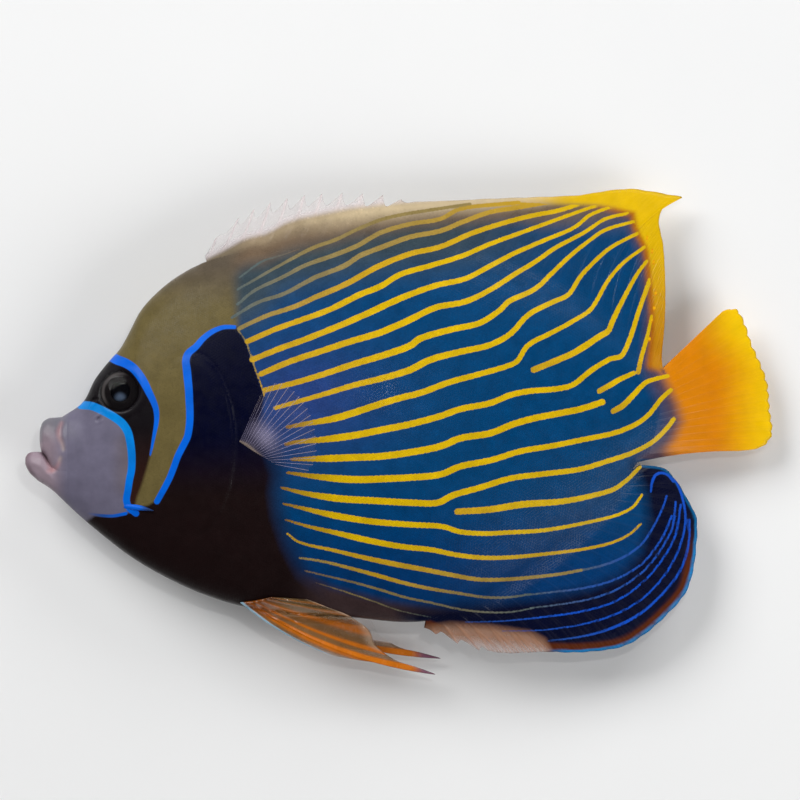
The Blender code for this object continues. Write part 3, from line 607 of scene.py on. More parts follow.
@dataclass
class Ground:
    """How thick the fish is, and which fin there is, all over its side."""

    sample: float = 0.22
    shoulder: float = 3.0
    shoulder_reach: float = 5.6
    rest_lift: float = 1.0

    def __post_init__(self) -> None:
        """Works out the body's thickness, and lays the fins over it."""
        self.body = FORM.half(CHART.xx, CHART.yy)
        raw = self.body.copy()
        self.reach = CHART.blank(0.0)
        self.lean = CHART.blank(0.0)
        self.fin = {name: self.lay(fin, raw) for name, fin in BODY_FINS.items()}
        self.inside = (self.body > 0.0) | np.any(list(self.fin.values()), axis=0)
        mask = self.inside * 1.0
        outward = blur(raw * mask, 0.8) / np.maximum(blur(mask, 0.8), 1e-3)
        filled = np.where(self.inside, raw, outward)
        self.wide = blur(raw * mask, self.shoulder) / np.maximum(blur(mask, self.shoulder), 1e-2)
        roots = self.distance([fin.root for fin in BODY_FINS.values()])
        self.blend = 1.0 - ease(roots, 0.4, self.shoulder_reach)
        self.core = blur(mask, 0.6)
        self.near = blur(mask, 2.0)
        self.half = filled * (1.0 - self.blend) + self.wide * self.blend
        self.rim = self.distance([fin.margin for fin in BODY_FINS.values()])
        tips = smooth_line(PECTORAL_RIGHT_TIPS)
        self.under = CHART.region(np.vstack([PECTORAL_RIGHT_BASE, tips[::-1]]))
        self.height = {
            side: FORM.middle(CHART.xx, CHART.yy) + side.value * self.half for side in Side}
        self.slope = {side: np.gradient(self.height[side], CHART.pitch) for side in Side}

    @staticmethod
    def distance(lines: list[Array]) -> Array:
        """Distances to the nearest of some lines."""
        found = CHART.blank(CHART.far)
        spare = np.zeros((CHART.rows, CHART.columns, 3))
        for line in lines:
            CHART.stroke(found, spare, line, np.zeros(len(line)), np.zeros((len(line), 3)))
        return found

    def lay(self, fin: Fin, raw: Array) -> Array:
        """Lays one fin's thickness and ray directions on the chart, and says where it is."""
        across = int(lengths(fin.margin)[-1] / self.sample)
        fan, reach = np.meshgrid(np.linspace(0, 1, across), np.linspace(0, 1, 260), indexing="ij")
        points, length = fin.place(fan, reach)
        ahead, _ = fin.place(fan, reach + 0.02)
        angle = np.arctan2(*(ahead - points)[..., ::-1].transpose(2, 0, 1))
        half = fin.half(fan, reach, length)
        c = np.rint((points[..., 0] - CHART.west) / CHART.pitch).astype(int)
        r = np.rint((points[..., 1] - CHART.south) / CHART.pitch).astype(int)
        here = np.zeros((CHART.rows, CHART.columns), bool)
        here[r, c] = True
        only_fin = self.body[r, c] <= 0.0
        r, c = r[only_fin], c[only_fin]
        raw[r, c] = half[only_fin]
        self.reach[r, c] = reach[only_fin]
        self.lean[r, c] = angle[only_fin]
        return here & (self.body <= 0.0)

    def thickness(self, x: Array, y: Array, plain: Array) -> Array:
        """A body's plain half thickness, with smooth shoulders towards the fins."""
        share = CHART.look_up(self.blend, x, y)
        return plain * (1.0 - share) + CHART.look_up(self.wide, x, y) * share

    def lowest(self, x: Array, y: Array, side: Side) -> Array:
        """How low a flank may hang: the floor, or the back of the fin that it lies on."""
        if side is Side.LEFT:
            return np.zeros_like(x)
        return self.rest_lift * (1.0 - ease(CHART.look_up(self.under, x, y), -0.3, 1.2))


@dataclass
class Stripe:
    """A marking drawn along the photographed fish: its points, widths and colours."""

    points: Table
    widths: tuple[float, float, float] = (4.2, 5.6, 5.6)
    tints: tuple[str, str, str] = ("gold", "yellow", "yellow")
    rise: float = 0.35
    swell: float = 1.1

    def draw(self, distance: Array, tint: Array) -> None:
        """Draws the marking on two fields of the chart."""
        line = smooth_line(seen(self.points), 5)
        share = lengths(line) / lengths(line)[-1]
        stops = (0.0, self.rise, 1.0)
        widths = np.interp(share, stops, self.widths) * PIXEL * self.swell
        colours = np.array([paint(name) for name in self.tints])
        tints = np.stack([np.interp(share, stops, colours[:, k]) for k in range(3)], -1)
        CHART.stroke(distance, tint, line, widths, tints)


FADED = ("ash", "tan", "gold")
TOPMOST = ("ash", "tan", "tan")
LOWER = ("bronze", "yellow", "gold")
EMERGING = ("bronze", "yellow", "yellow")
FLANK_STRIPES = (
    Stripe(((240, 278), (262, 262), (280, 256), (300, 249)), (1.6, 2.0, 0.8), ("ash", "ash", "umber")),
    Stripe(((238, 290), (262, 276), (285, 263), (313, 248), (335, 240), (358, 229), (380, 220),
        (400, 215), (430, 210), (470, 204)), (2.0, 3.4, 3.0), TOPMOST),
    Stripe(((238, 305), (255, 291), (280, 279), (305, 266), (335, 255), (357, 246), (380, 233),
        (410, 224), (440, 219), (460, 209), (500, 204), (540, 201)), (2.4, 4.2, 3.6), FADED),
    Stripe(((233, 318), (258, 303), (285, 294), (315, 278), (345, 266), (360, 256), (380, 248),
        (410, 237), (440, 231), (465, 221), (490, 212), (520, 207), (560, 200)), (2.6, 4.6, 4.0),
        FADED),
    Stripe(((240, 329), (265, 317), (295, 307), (315, 298), (345, 285), (380, 266), (410, 254),
        (440, 247), (470, 234), (500, 224), (530, 216), (560, 210), (590, 200)), (3.6, 5.2, 3.8),
        ("tan", "gold", "yellow")),
    Stripe(((248, 342), (275, 330), (300, 321), (330, 310), (360, 295), (380, 287), (400, 275),
        (430, 266), (462, 256), (490, 244), (520, 233), (550, 222), (580, 211), (604, 203)),
        (4.6, 5.4, 2.8)),
    Stripe(((253, 360), (280, 349), (305, 340), (335, 328), (365, 315), (400, 299), (435, 286),
        (465, 279), (490, 266), (515, 253), (545, 240), (575, 227), (590, 215), (613, 206)),
        (5.0, 5.8, 2.8)),
    Stripe(((262, 374), (290, 362), (320, 352), (350, 342), (380, 333), (410, 320), (435, 308),
        (465, 302), (490, 290), (515, 274), (535, 262), (555, 248), (585, 232), (605, 219),
        (628, 213)), (5.0, 6.0, 2.8)),
    Stripe(((266, 390), (295, 383), (325, 374), (355, 364), (385, 355), (410, 346), (420, 339),
        (450, 330), (480, 323), (500, 310), (508, 302), (535, 289), (552, 273), (570, 256), (590, 240),
        (605, 230), (635, 221)), (4.6, 6.2, 2.8)),
    Stripe(((276, 408), (290, 404), (325, 394), (355, 385), (380, 379), (410, 370), (430, 360),
        (460, 352), (490, 345), (510, 334), (528, 315), (555, 301), (568, 295), (580, 277), (590, 266),
        (610, 248), (640, 232)), (3.6, 6.2, 3.0)),
    Stripe(((288, 427), (304, 424), (336, 418), (359, 411), (380, 404), (400, 398), (420, 393),
        (450, 382), (480, 374), (510, 365), (517, 361), (527, 346), (555, 331), (580, 317), (590, 310),
        (597, 300), (607, 282), (622, 264), (646, 246)), (3.0, 6.4, 3.0), EMERGING, 0.12),
    Stripe(((533, 370), (555, 361), (575, 352), (600, 336), (608, 331), (613, 320), (625, 296),
        (638, 273), (647, 261)), (5.4, 5.8, 3.0)),
    Stripe(((286, 444), (296, 442), (326, 439), (355, 435), (380, 430), (410, 424), (440, 416),
        (460, 409), (490, 403), (510, 395), (530, 391), (555, 389), (572, 385), (590, 371), (610, 359),
        (621, 356), (629, 341), (640, 308), (650, 280)), (3.0, 6.4, 4.0), EMERGING, 0.12),
    Stripe(((638, 372), (642, 355), (647, 338), (652, 316)), (4.4, 4.0, 2.6)),
    Stripe(((292, 459), (330, 458), (355, 457), (380, 456), (410, 452), (440, 446), (460, 438),
        (490, 433), (510, 425), (530, 419), (560, 413), (580, 409), (602, 402)), (2.8, 6.4, 5.6),
        EMERGING, 0.12),
    Stripe(((599, 391), (608, 386), (620, 379), (634, 373)), (5.0, 5.0, 4.0)),
    Stripe(((613, 411), (622, 406), (634, 394), (645, 383), (655, 379), (668, 376)), (5.2, 5.0, 3.4)),
    Stripe(((288, 472), (316, 476), (355, 479), (390, 478), (410, 477), (440, 474), (460, 466),
        (490, 460), (520, 451), (550, 446), (580, 440), (620, 431), (645, 418), (662, 398),
        (671, 390)), (2.4, 6.6, 4.0), EMERGING, 0.12),
    Stripe(((282, 487), (307, 493), (340, 498), (374, 500), (410, 502), (438, 502), (452, 495),
        (480, 487), (510, 478), (540, 474), (580, 469), (604, 462), (634, 452), (655, 440), (668, 427),
        (674, 419)), (2.2, 6.4, 4.0), EMERGING, 0.12),
    Stripe(((457, 511), (489, 509), (522, 504), (563, 501), (594, 495), (614, 489), (628, 479),
        (640, 467)), (5.6, 6.2, 3.4)),
    Stripe(((284, 503), (305, 508), (336, 515), (374, 521), (412, 524), (443, 526), (459, 531),
        (485, 533), (507, 532), (543, 530), (584, 523), (620, 514), (634, 506), (642, 495)),
        (1.8, 6.0, 2.4), EMERGING, 0.14),
    Stripe(((286, 519), (310, 526), (336, 532), (370, 540), (403, 546), (431, 549), (455, 554),
        (480, 557), (508, 557), (543, 554), (584, 549), (614, 542), (630, 534), (641, 524)),
        (1.6, 5.6, 2.0), LOWER, 0.2),
    Stripe(((288, 533), (299, 541), (336, 550), (365, 557), (393, 563), (425, 569), (450, 574),
        (479, 579), (508, 579), (533, 577), (560, 574), (582, 570)), (1.8, 4.8, 2.6), ("gold", "gold",
        "tan")),
    Stripe(((300, 557), (325, 561), (345, 566), (375, 574), (403, 582), (430, 588), (460, 593),
        (485, 597), (510, 597), (530, 594)), (1.8, 3.8, 1.8), ("tan", "gold", "ash")),
    Stripe(((305, 570), (330, 576), (355, 582), (380, 589), (406, 597), (430, 602), (460, 609),
        (485, 612), (510, 612), (533, 608)), (1.4, 2.4, 1.3), ("umber", "tan", "ash")),
    Stripe(((316, 582), (345, 591), (374, 601), (399, 610), (431, 617)), (0.9, 1.4, 0.8), ("umber",
        "tan", "ash")),
)
COLD = ("ash", "steel", "cobalt")
FULL_BLUE = ("steel", "cobalt", "cobalt")
FIN_LINES = (
    Stripe(((578, 571), (604, 565), (624, 557), (641, 545), (653, 528), (663, 508), (667, 496)),
        (1.8, 2.2, 1.8), COLD),
    Stripe(((526, 595), (553, 592), (584, 588), (614, 580), (641, 565), (655, 549), (664, 535),
        (672, 516)), (1.4, 2.0, 1.9), COLD),
    Stripe(((530, 608), (563, 604), (594, 598), (620, 588), (645, 570), (661, 550), (673, 527),
        (676, 502)), (1.2, 1.8, 1.9), COLD),
    Stripe(((465, 622), (502, 621), (543, 617), (584, 611), (614, 602), (640, 585), (661, 562),
        (676, 535), (681, 505)), (0.8, 1.8, 2.0), FULL_BLUE),
    Stripe(((502, 631), (543, 630), (584, 624), (614, 615), (641, 600), (663, 578), (679, 550),
        (686, 520), (682, 495), (674, 476)), (0.8, 1.8, 2.2), FULL_BLUE),
    Stripe(((548, 641), (580, 637), (610, 629), (637, 616), (660, 597), (680, 572), (689, 545),
        (690, 520)), (1.2, 2.6, 2.0), FULL_BLUE),
    Stripe(((651, 492), (652, 484), (655, 476), (661, 473), (668, 475), (674, 482)), (1.8, 2.6, 2.0),
        ("cobalt", "cobalt", "cobalt")),
)
BRIGHT = ("line", "line", "line")
SNOUT_LINE = (
    (81, 405), (92, 406), (100, 409), (110, 414), (118, 419), (124, 424), (129, 432), (131, 440),
    (132.5, 450), (133, 460), (132.5, 470), (130.5, 480), (129, 490), (127.5, 500), (130, 507),
    (137, 513),
)
BROW_LINE = (
    (112, 357), (118, 360), (126, 363), (134, 368), (141, 376), (146, 384), (150, 392),
    (154, 400), (157, 408), (158, 416), (157.5, 424), (156, 432), (154.5, 440), (153, 448),
    (151.5, 455),
)
CHEEK_LINE = (
    (236, 327.5), (225, 327.5), (217, 330), (210, 334), (203, 340), (197, 347), (189, 354),
    (187, 361), (188, 370), (189, 380), (190, 390), (190.5, 400), (191, 410), (191, 420),
    (190, 430), (188.5, 437), (184, 446), (179, 456), (175, 467), (171, 477), (167, 485),
    (162, 494), (158, 501),
)
GOLD_LINE = ((238, 330), (243, 336), (248, 345), (252, 357), (257, 372), (262, 385), (265, 396))
HEAD_LINES = (
    Stripe(SNOUT_LINE, (7.4, 7.6, 6.0), ("azure", "azure", "line")),
    Stripe(BROW_LINE, (8.8, 7.6, 1.6), BRIGHT),
    Stripe(CHEEK_LINE, (3.4, 7.4, 5.4), BRIGHT),
    Stripe(((88, 513), (100, 515), (114, 515.5), (127, 513)), (1.6, 2.6, 3.0),
           ("snout", "steel", "line")),
)
GOLD_EDGE = Stripe(GOLD_LINE, (1.0, 1.5, 1.3), ("tan", "tan", "gold"))
MOUTH_FOLDS = (
    Stripe(((62, 423), (59.5, 430), (60, 437), (63, 444), (64, 449)), (1.2, 3.0, 0.8),
           ("pink", "pink", "gristle")),
    Stripe(((61, 458), (58.5, 465), (54, 470), (49, 471)), (0.8, 2.0, 1.6),
           ("gristle", "pink", "pink")),
)
MOUTH_LINE = Stripe(
    ((40, 451), (44, 455), (47, 460), (50, 466), (53, 470)), (1.4, 1.6, 2.2),
    ("lip_dark", "lip_dark", "pink"))
LIP_EDGES = (
    MOUTH_LINE,
    Stripe(((29, 453), (25.5, 458), (26.5, 464), (30, 470), (36, 479)), (3.4, 2.6, 1.0),
           ("lip_dark", "lip_dark", "lip_dark")),
    Stripe(((41, 441), (40.5, 432), (42, 425), (48, 419)), (0.8, 2.2, 1.4),
           ("lip_grey", "lip_grey", "lip_grey")),
)
REAR_EDGE = (
    (500, 199), (540, 198), (565, 196), (600, 191), (630, 188), (652, 191), (668, 195),
    (684, 197), (672, 200), (664, 205), (659, 212), (658, 221), (661, 233), (664, 247),
    (665, 262), (665, 276), (666, 290), (667, 306), (665, 325), (663, 340), (661, 352),
    (659, 364),
)
REAR_BAND = (
    (0.0, 4.0), (0.1, 9.0), (0.2, 19.0), (0.28, 30.0), (0.35, 46.0), (0.45, 58.0), (0.56, 54.0),
    (0.61, 44.0), (0.66, 36.0), (0.76, 29.0), (0.84, 28.0), (0.9, 22.0), (1.0, 16.0),
)
REAR_DOTS = tuple(
    Stripe(((x, y - 1.4), (x, y + 1.4)), (2.0, 2.6, 2.0), ("amber", "sun", "amber"))
    for x, y in ((647.5, 237.5), (652.5, 251.0), (654.0, 262.0), (656.0, 293.0), (654.5, 308.0),
                 (652.0, 320.0), (649.5, 339.0)))
SNOUT_REGION = (
    (60, 395), (84, 404), *SNOUT_LINE[1:14], (130, 512), (112, 516), (96, 515), (85, 522),
    (0, 500), (0, 395),
)
MASK_REGION = (
    (78, 404), *SNOUT_LINE[1:14], (131, 510), (136, 505), (138, 497), (143, 484), (148, 468),
    *BROW_LINE[:0:-1], (100, 352), (80, 380),
)
PATCH_REGION = (
    (237, 328), *CHEEK_LINE[1:22], (157, 500), (149, 505), (138, 507), (130, 508), (112, 510),
    (96, 510), (60, 530), (150, 640), (300, 700), (470, 640), (420, 618), (372, 606), (330, 592),
    (304, 572), (290, 545), (280, 515), (277, 492), (280, 474), (274, 455), (266, 438),
    (262, 420), (264, 406), *GOLD_LINE[:0:-1],
)
ANAL_REGION = (
    (400, 612), (450, 606), (500, 602), (545, 597), (590, 588), (622, 574), (640, 552),
    (648, 522), (645, 495), (636, 472), (632, 458), (680, 455), (720, 520), (710, 620),
    (600, 680), (420, 680),
)
CLEAR_REGION = (
    (424, 628), (450, 624), (490, 627), (530, 633), (544, 640), (549, 650), (548, 670),
    (424, 670),
)
SOLID_EDGE = (
    (190, 270), (222, 254), (240, 244), (250, 240), (265, 237), (275, 232), (285, 226),
    (300, 221), (320, 217), (350, 211), (400, 205), (450, 201), (500, 198), (540, 196),
    (600, 180),
)
TAIL_EDGE = ((300, 640), (372, 662), (388, 669), (404, 677), (422, 682), (440, 674), (456, 656))
NAPE_EDGE = ((240, 240), (262, 233), (290, 234), (312, 236), (330, 238))
NAPE_SOFT = ((240, 15), (300, 10), (330, 5))
BROWN_DEPTH = ((240, 36), (320, 42), (420, 34), (520, 34), (600, 62))
STRAW_DEPTH = ((240, 12), (330, 25), (480, 19), (600, 13))
BELLY_ROWS = ((290, 566), (330, 588), (391, 603), (460, 613), (540, 622))
WEB_ROWS = ((424, 628), (545, 640))


@dataclass(frozen=True)
class Wash:
    """A colour that comes and goes along some measures of the photograph.

    A limit names a measure and says where there is none of the colour, where there is
    all of it and, if there is a fourth value, which share is left where there is least.
    A limit that is only a name takes the measure as the share.
    """

    colour: str
    share: float
    limits: Limits
    then: str = ""
    turning: Limits = ()
    turned: float = 1.0


BODY_WASHES = (
    Wash("deep_blue", 0.8, (("row", 470, 590),)),
    Wash("violet", 0.7, (("violet",),)),
    Wash("slate", 1.0, (("column", 600, 430), ("depth", 94, 34))),
    Wash("slate", 0.85, (("column", 284, 244), ("row", 350, 296))),
    Wash("umber", 1.0, (("column", 660, 590), ("brown_depth", 1.0, 0.35))),
    Wash("straw", 0.8,
         (("column", 625, 575), ("straw_depth", 1.0, 0.05), ("column", 250, 390, 0.3125))),
    Wash("olive", 1.0, (("nape", 1.0, -0.6),), "nape", (("row", 318, 262),)),
    Wash("patch", 1.0, (("in_patch",),), "belly", (("row", 430, 500),)),
    Wash("belly_rim", 1.0, (("belly", -8, 6), ("column", 285, 335), ("column", 560, 500))),
    Wash("mask", 1.0, (("in_mask",),), "mask_low", (("row", 420, 495),)),
)
FACE_WASHES = (
    Wash("lip", 1.0, (("column", 70, 46),)),
    Wash("lip_grey", 0.75, (("row", 446, 420), ("column", 74, 56))),
    Wash("umber", 0.35, (("column", 108, 130), ("row", 425, 445), ("row", 505, 480))),
)
FIN_WASHES = (
    Wash("plum", 0.8, (("column", 575, 630), ("row", 376, 366), ("rear", 5.8, 0.4))),
    Wash("rust", 1.0, (("column", 575, 630), ("row", 376, 366), ("rear", 2.8, 0.2))),
    Wash("corn", 1.0, (("column", 490, 590), ("row", 376, 366), ("rear_edge", 1.0, 0.0)),
         "ochre", (("row", 215, 360),), 0.9),
    Wash("navy", 1.0, (("in_anal",), ("row", 452, 470))),
    Wash("margin_brown", 1.0, (("anal_fin",), ("rim", 3.9, 2.6), ("row", 520, 575))),
    Wash("margin_blue", 1.0,
         (("anal_fin",), ("rim", 1.1, 0.6), ("column", 540, 570), ("row", 490, 570, 0.35))),
    Wash("plum", 0.8, (("past_tail_edge", -28, -3), ("row", 364, 378), ("row", 460, 458))),
    Wash("amber", 1.0,
         (("off_dorsal",), ("past_tail_edge", -9, 9), ("diagonal", 200, 230), ("row", 300, 304),
          ("row", 460, 458)), "sun", (("tail_sun",),)),
    Wash("straw", 0.5,
         (("dorsal_fin",), ("depth", 9, 1), ("column", 570, 500), ("column", 250, 390, 0.3))),
    Wash("web", 0.9, (("dorsal_fin",), ("depth", 1, -7), ("column", 570, 500))),
    Wash("web_tan", 0.9, (("anal_front",),)),
    Wash("web", 0.35, (("anal_front",), ("web_depth", 2, 16))),
)
CLEAR_DORSAL: Limits = (("dorsal_fin",), ("depth", 3, -11), ("column", 570, 500))
CLEAR_ANAL: Limits = (("anal_front",), ("web_depth", 2, 16, 0.5))
PATCH_SOFTENS: Limits = (("row", 400, 450), ("column", 200, 260))
BAND_SOFTENS: Limits = (("column", 640, 590, 0.5),)
SUN_OUTWARD: Limits = (("column", 712, 775),)
SUN_LOBE: Limits = (("row", 375, 315), ("column", 690, 730))


@dataclass
class Markings:
    """The fish's colours, as fields of the chart."""

    ground: Ground
    region_soft: float = 3.0
    anal_soft: float = 16.0
    web_soft: float = 9.0
    patch_soft: Span = (2.4, 22.0)
    band_soft: Span = (1.4, 1.2)
    violet: tuple[Span, Span] = ((300, 75), (400, 60))
    lobe_sun: float = 0.7
    stripes_stop: Span = (520, 370)
    edge_share: float = 0.7
    fold_share: float = 0.55
    soft_edge: Span = (1.3, -0.9)
    fold_depth: float = 0.4
    fold_edge: Span = (1.1, -0.7)
    most_clear: Span = (0.86, 0.8)

    def __post_init__(self) -> None:
        """Draws stripes, lines and regions, and lays the colours of the ground."""
        self.stripe, self.stripe_tint = self.drawn((*FLANK_STRIPES, *FIN_LINES))
        self.line, self.line_tint = self.drawn(HEAD_LINES)
        self.fold, fold_tint = self.drawn(MOUTH_FOLDS)
        edge, edge_tint = self.drawn(LIP_EDGES)
        self.snout = CHART.region(seen(SNOUT_REGION))
        self.rear = self.rear_band()
        self.measures = self.measured()
        self.measures |= self.regions()
        self.clip_stripes()
        shape = (CHART.rows, CHART.columns, 3)
        colour = self.washed(np.broadcast_to(paint("blue"), shape), BODY_WASHES)
        face = self.washed(np.broadcast_to(paint("snout"), shape), FACE_WASHES)
        colour = blend(colour, face, self.inside(self.snout, self.region_soft))
        colour = blend(colour, edge_tint, self.edge_share * ease(edge, *self.soft_edge))
        colour = blend(colour, fold_tint, self.fold_share * ease(self.fold, *self.soft_edge))
        self.colour = self.washed(colour, FIN_WASHES)
        self.clear = np.maximum(
            self.most_clear[0] * self.share(CLEAR_DORSAL),
            self.most_clear[1] * self.share(CLEAR_ANAL))

    @staticmethod
    def drawn(stripes: tuple[Stripe, ...]) -> Pair:
        """Signed distances to some stripes, and the colour of the nearest."""
        distance, tint = CHART.blank(CHART.far), np.zeros((CHART.rows, CHART.columns, 3))
        for stripe in stripes:
            stripe.draw(distance, tint)
        return distance, tint

    @staticmethod
    def rear_band() -> Array:
        """Signed distances to the yellow band along the rear of the back fin."""
        edge = smooth_line(seen(REAR_EDGE), 4)
        width = read(REAR_BAND, lengths(edge) / lengths(edge)[-1]) * PIXEL
        rear, spare = CHART.blank(CHART.far), np.zeros((CHART.rows, CHART.columns, 3))
        CHART.stroke(rear, spare, edge, width, np.zeros((len(edge), 3)))
        return rear

    @staticmethod
    def inside(region: Array, soft: Array | float) -> Array:
        """Shares of a region whose edge is this soft, in pixels."""
        return clamp(0.5 - region / PIXEL / soft)

    def measured(self) -> dict[str, Array]:
        """Names the places and distances that colours follow, in pixels of the photograph."""
        column = CHART.xx / PIXEL + PHOTO_ORIGIN[0]
        row = PHOTO_ORIGIN[1] - CHART.yy / PIXEL
        depth = row - read(SOLID_EDGE, column)
        (violet_column, violet_wide), (violet_row, violet_high) = self.violet
        return {
            "column": column,
            "row": row,
            "diagonal": column - row,
            "depth": depth,
            "brown_depth": depth / read(BROWN_DEPTH, column),
            "straw_depth": depth / read(STRAW_DEPTH, column),
            "web_depth": row - read(WEB_ROWS, column),
            "nape": (column - read(NAPE_EDGE, row)) / read(NAPE_SOFT, row),
            "belly": row - read(BELLY_ROWS, column),
            "past_tail_edge": column - read(TAIL_EDGE, row),
            "violet": bell(column - violet_column, violet_wide) * bell(row - violet_row, violet_high),
            "rear": self.rear,
            "rim": self.ground.distance([ANAL.margin]),
            "anal_fin": self.ground.fin["anal_fin"],
            "dorsal_fin": self.ground.fin["dorsal_fin"],
            "off_dorsal": 1.0 - self.ground.fin["dorsal_fin"],
        }

    def regions(self) -> dict[str, Array]:
        """Names the shares of the regions that colours fill."""
        patch, mask, anal, web = (
            CHART.region(seen(corners))
            for corners in (PATCH_REGION, MASK_REGION, ANAL_REGION, CLEAR_REGION))
        patch_soft = self.patch_soft[0] + self.patch_soft[1] * self.share(PATCH_SOFTENS)
        start, spread = self.band_soft
        return {
            "in_patch": self.inside(patch, patch_soft),
            "in_mask": self.inside(mask, self.region_soft),
            "in_anal": self.inside(anal, self.anal_soft),
            "anal_front": self.inside(web, self.web_soft) * self.ground.fin["anal_fin"],
            "rear_edge": (self.rear + start) / (start + spread * self.share(BAND_SOFTENS)),
            "tail_sun": clamp(self.share(SUN_OUTWARD) + self.lobe_sun * self.share(SUN_LOBE)),
        }

    def share(self, limits: Limits) -> Array:
        """How much there is of what comes and goes within some limits."""
        out = CHART.blank(1.0)
        for name, *ends in limits:
            value = self.measures[name]
            if ends:
                least = ends[2] if len(ends) > 2 else 0.0
                value = least + (1.0 - least) * ease(value, *ends[:2])
            out = out * value
        return out

    def washed(self, colour: Array, washes: tuple[Wash, ...]) -> Array:
        """Lays washes over the colours, one after another."""
        for wash in washes:
            over = paint(wash.colour)
            if wash.then:
                over = blend(over, paint(wash.then), wash.turned * self.share(wash.turning))
            colour = blend(colour, over, wash.share * self.share(wash.limits))
        return colour

    def clip_stripes(self) -> None:
        """Ends the stripes at the yellow band, and adds its dots and the gold edge."""
        column, row = self.stripes_stop
        stop = (self.measures["column"] > column) & (self.measures["row"] < row)
        self.stripe = np.where(stop, np.maximum(self.stripe, -self.rear), self.stripe)
        for stripe in (*REAR_DOTS, GOLD_EDGE):
            stripe.draw(self.stripe, self.stripe_tint)

    def dent(self, x: Array, y: Array) -> Array:
        """How deep the folds round the mouth are at these places."""
        return self.fold_depth * ease(CHART.look_up(self.fold, x, y), *self.fold_edge)

    def dress(self, mesh: Mesh, at: Array | None = None, **numbers: Array) -> None:
        """Writes the markings on a mesh, and other numbers by their names.

        Args:
            mesh: The mesh.
            at: Where its points take their markings from, if it isn't where they are.
            numbers: The other numbers.
        """
        x, y = (places_of(mesh) if at is None else at)[:, :2].T
        shades = {
            "ground": self.colour, "stripe_tint": self.stripe_tint, "line_tint": self.line_tint}
        fields = {"stripe": self.stripe, "line": self.line, "clear": self.clear}
        found = {name: CHART.look_up(values, x, y) for name, values in fields.items()}
        colours = {name: CHART.look_up(values, x, y) for name, values in shades.items()}
        tinted(mesh, colours, **found, **numbers)


def write(mesh: Mesh, name: str, kind: str, values: Array) -> None:
    """Writes one attribute of a mesh's points."""
    layer = mesh.attributes.get(name) or mesh.attributes.new(name, kind, "POINT")
    field = "color" if kind == "FLOAT_COLOR" else "value"
    layer.data.foreach_set(field, values.astype(np.float32).ravel())


def tinted(mesh: Mesh, shades: dict[str, Array], **numbers: Array) -> None:
    """Gives the points of a mesh colours and other numbers, each by its name."""
    points = len(mesh.vertices)
    for name, colours in shades.items():
        write(mesh, name, "FLOAT_COLOR", np.concatenate([colours, np.ones((points, 1))], axis=1))
    for name, values in {"vary": np.full(points, 0.5), **numbers}.items():
        write(mesh, name, "FLOAT", values)


FINE_NOISE = (1400.0, 2.0)
MOTTLE_NOISE = (170.0, 4.0)
ROUGH_NOISE = (320.0, 3.0)
NOISE_SPAN = (0.3, 0.7)
VARY_LIGHT = (0.82, 1.18)
ROUGH_SPREAD = (0.8, 1.25)
BUMP_HEIGHT = 0.00008


@dataclass(frozen=True)
class SkinFinish:
    """Wet skin that is coloured by the markings on its mesh."""

    name: str
    roughness: float = 0.34
    coat: float = 0.35
    coat_roughness: float = 0.12
    edge: float = 0.16
    ragged: float = 0.3
    mottle: float = 0.22
    bump: float = 0.25
    specular: float = 0.5
    see_through: bool = False
    marked: bool = True

    def make(self) -> Material:
        """Builds the material's nodes.

        Returns:
            The material.
        """
        tree = NodeTree(self.name)
        fine = tree.noise(*FINE_NOISE)
        colour = tree.attribute("ground", "Color")
        if self.marked:
            rough_edge = tree.math("MULTIPLY", tree.math("SUBTRACT", fine, 0.5), self.ragged)
            stripe = tree.math("ADD", tree.attribute("stripe", "Fac"), rough_edge)
            marks = {"stripe_tint": stripe, "line_tint": tree.attribute("line", "Fac")}
            for name, distance in marks.items():
                share = tree.range(distance, (-self.edge, self.edge), (1.0, 0.0))
                colour = tree.mix(colour, tree.attribute(name, "Color"), share)
        spread = (1.0 - self.mottle, 1.0 + self.mottle)
        colour = tree.times(colour, tree.range(tree.noise(*MOTTLE_NOISE), NOISE_SPAN, spread))
        vary = tree.range(tree.attribute("vary", "Fac"), (0.0, 1.0), VARY_LIGHT)
        tree.feed("Base Color", tree.times(colour, vary))
        rough = tuple(self.roughness * share for share in ROUGH_SPREAD)
        tree.feed("Roughness", tree.range(tree.noise(*ROUGH_NOISE), NOISE_SPAN, rough))
        tree.feed("Coat Weight", self.coat)
        tree.feed("Coat Roughness", self.coat_roughness)
        tree.feed("Specular IOR Level", self.specular)
        tree.feed("Normal", tree.bump(fine, self.bump, BUMP_HEIGHT))
        if self.see_through:
            web = tree.math("SUBTRACT", 1.0, tree.attribute("ray", "Fac"))
            clear = tree.math("MULTIPLY", web, tree.attribute("clear", "Fac"))
            tree.feed("Alpha", tree.math("SUBTRACT", 1.0, clear))
        return tree.made


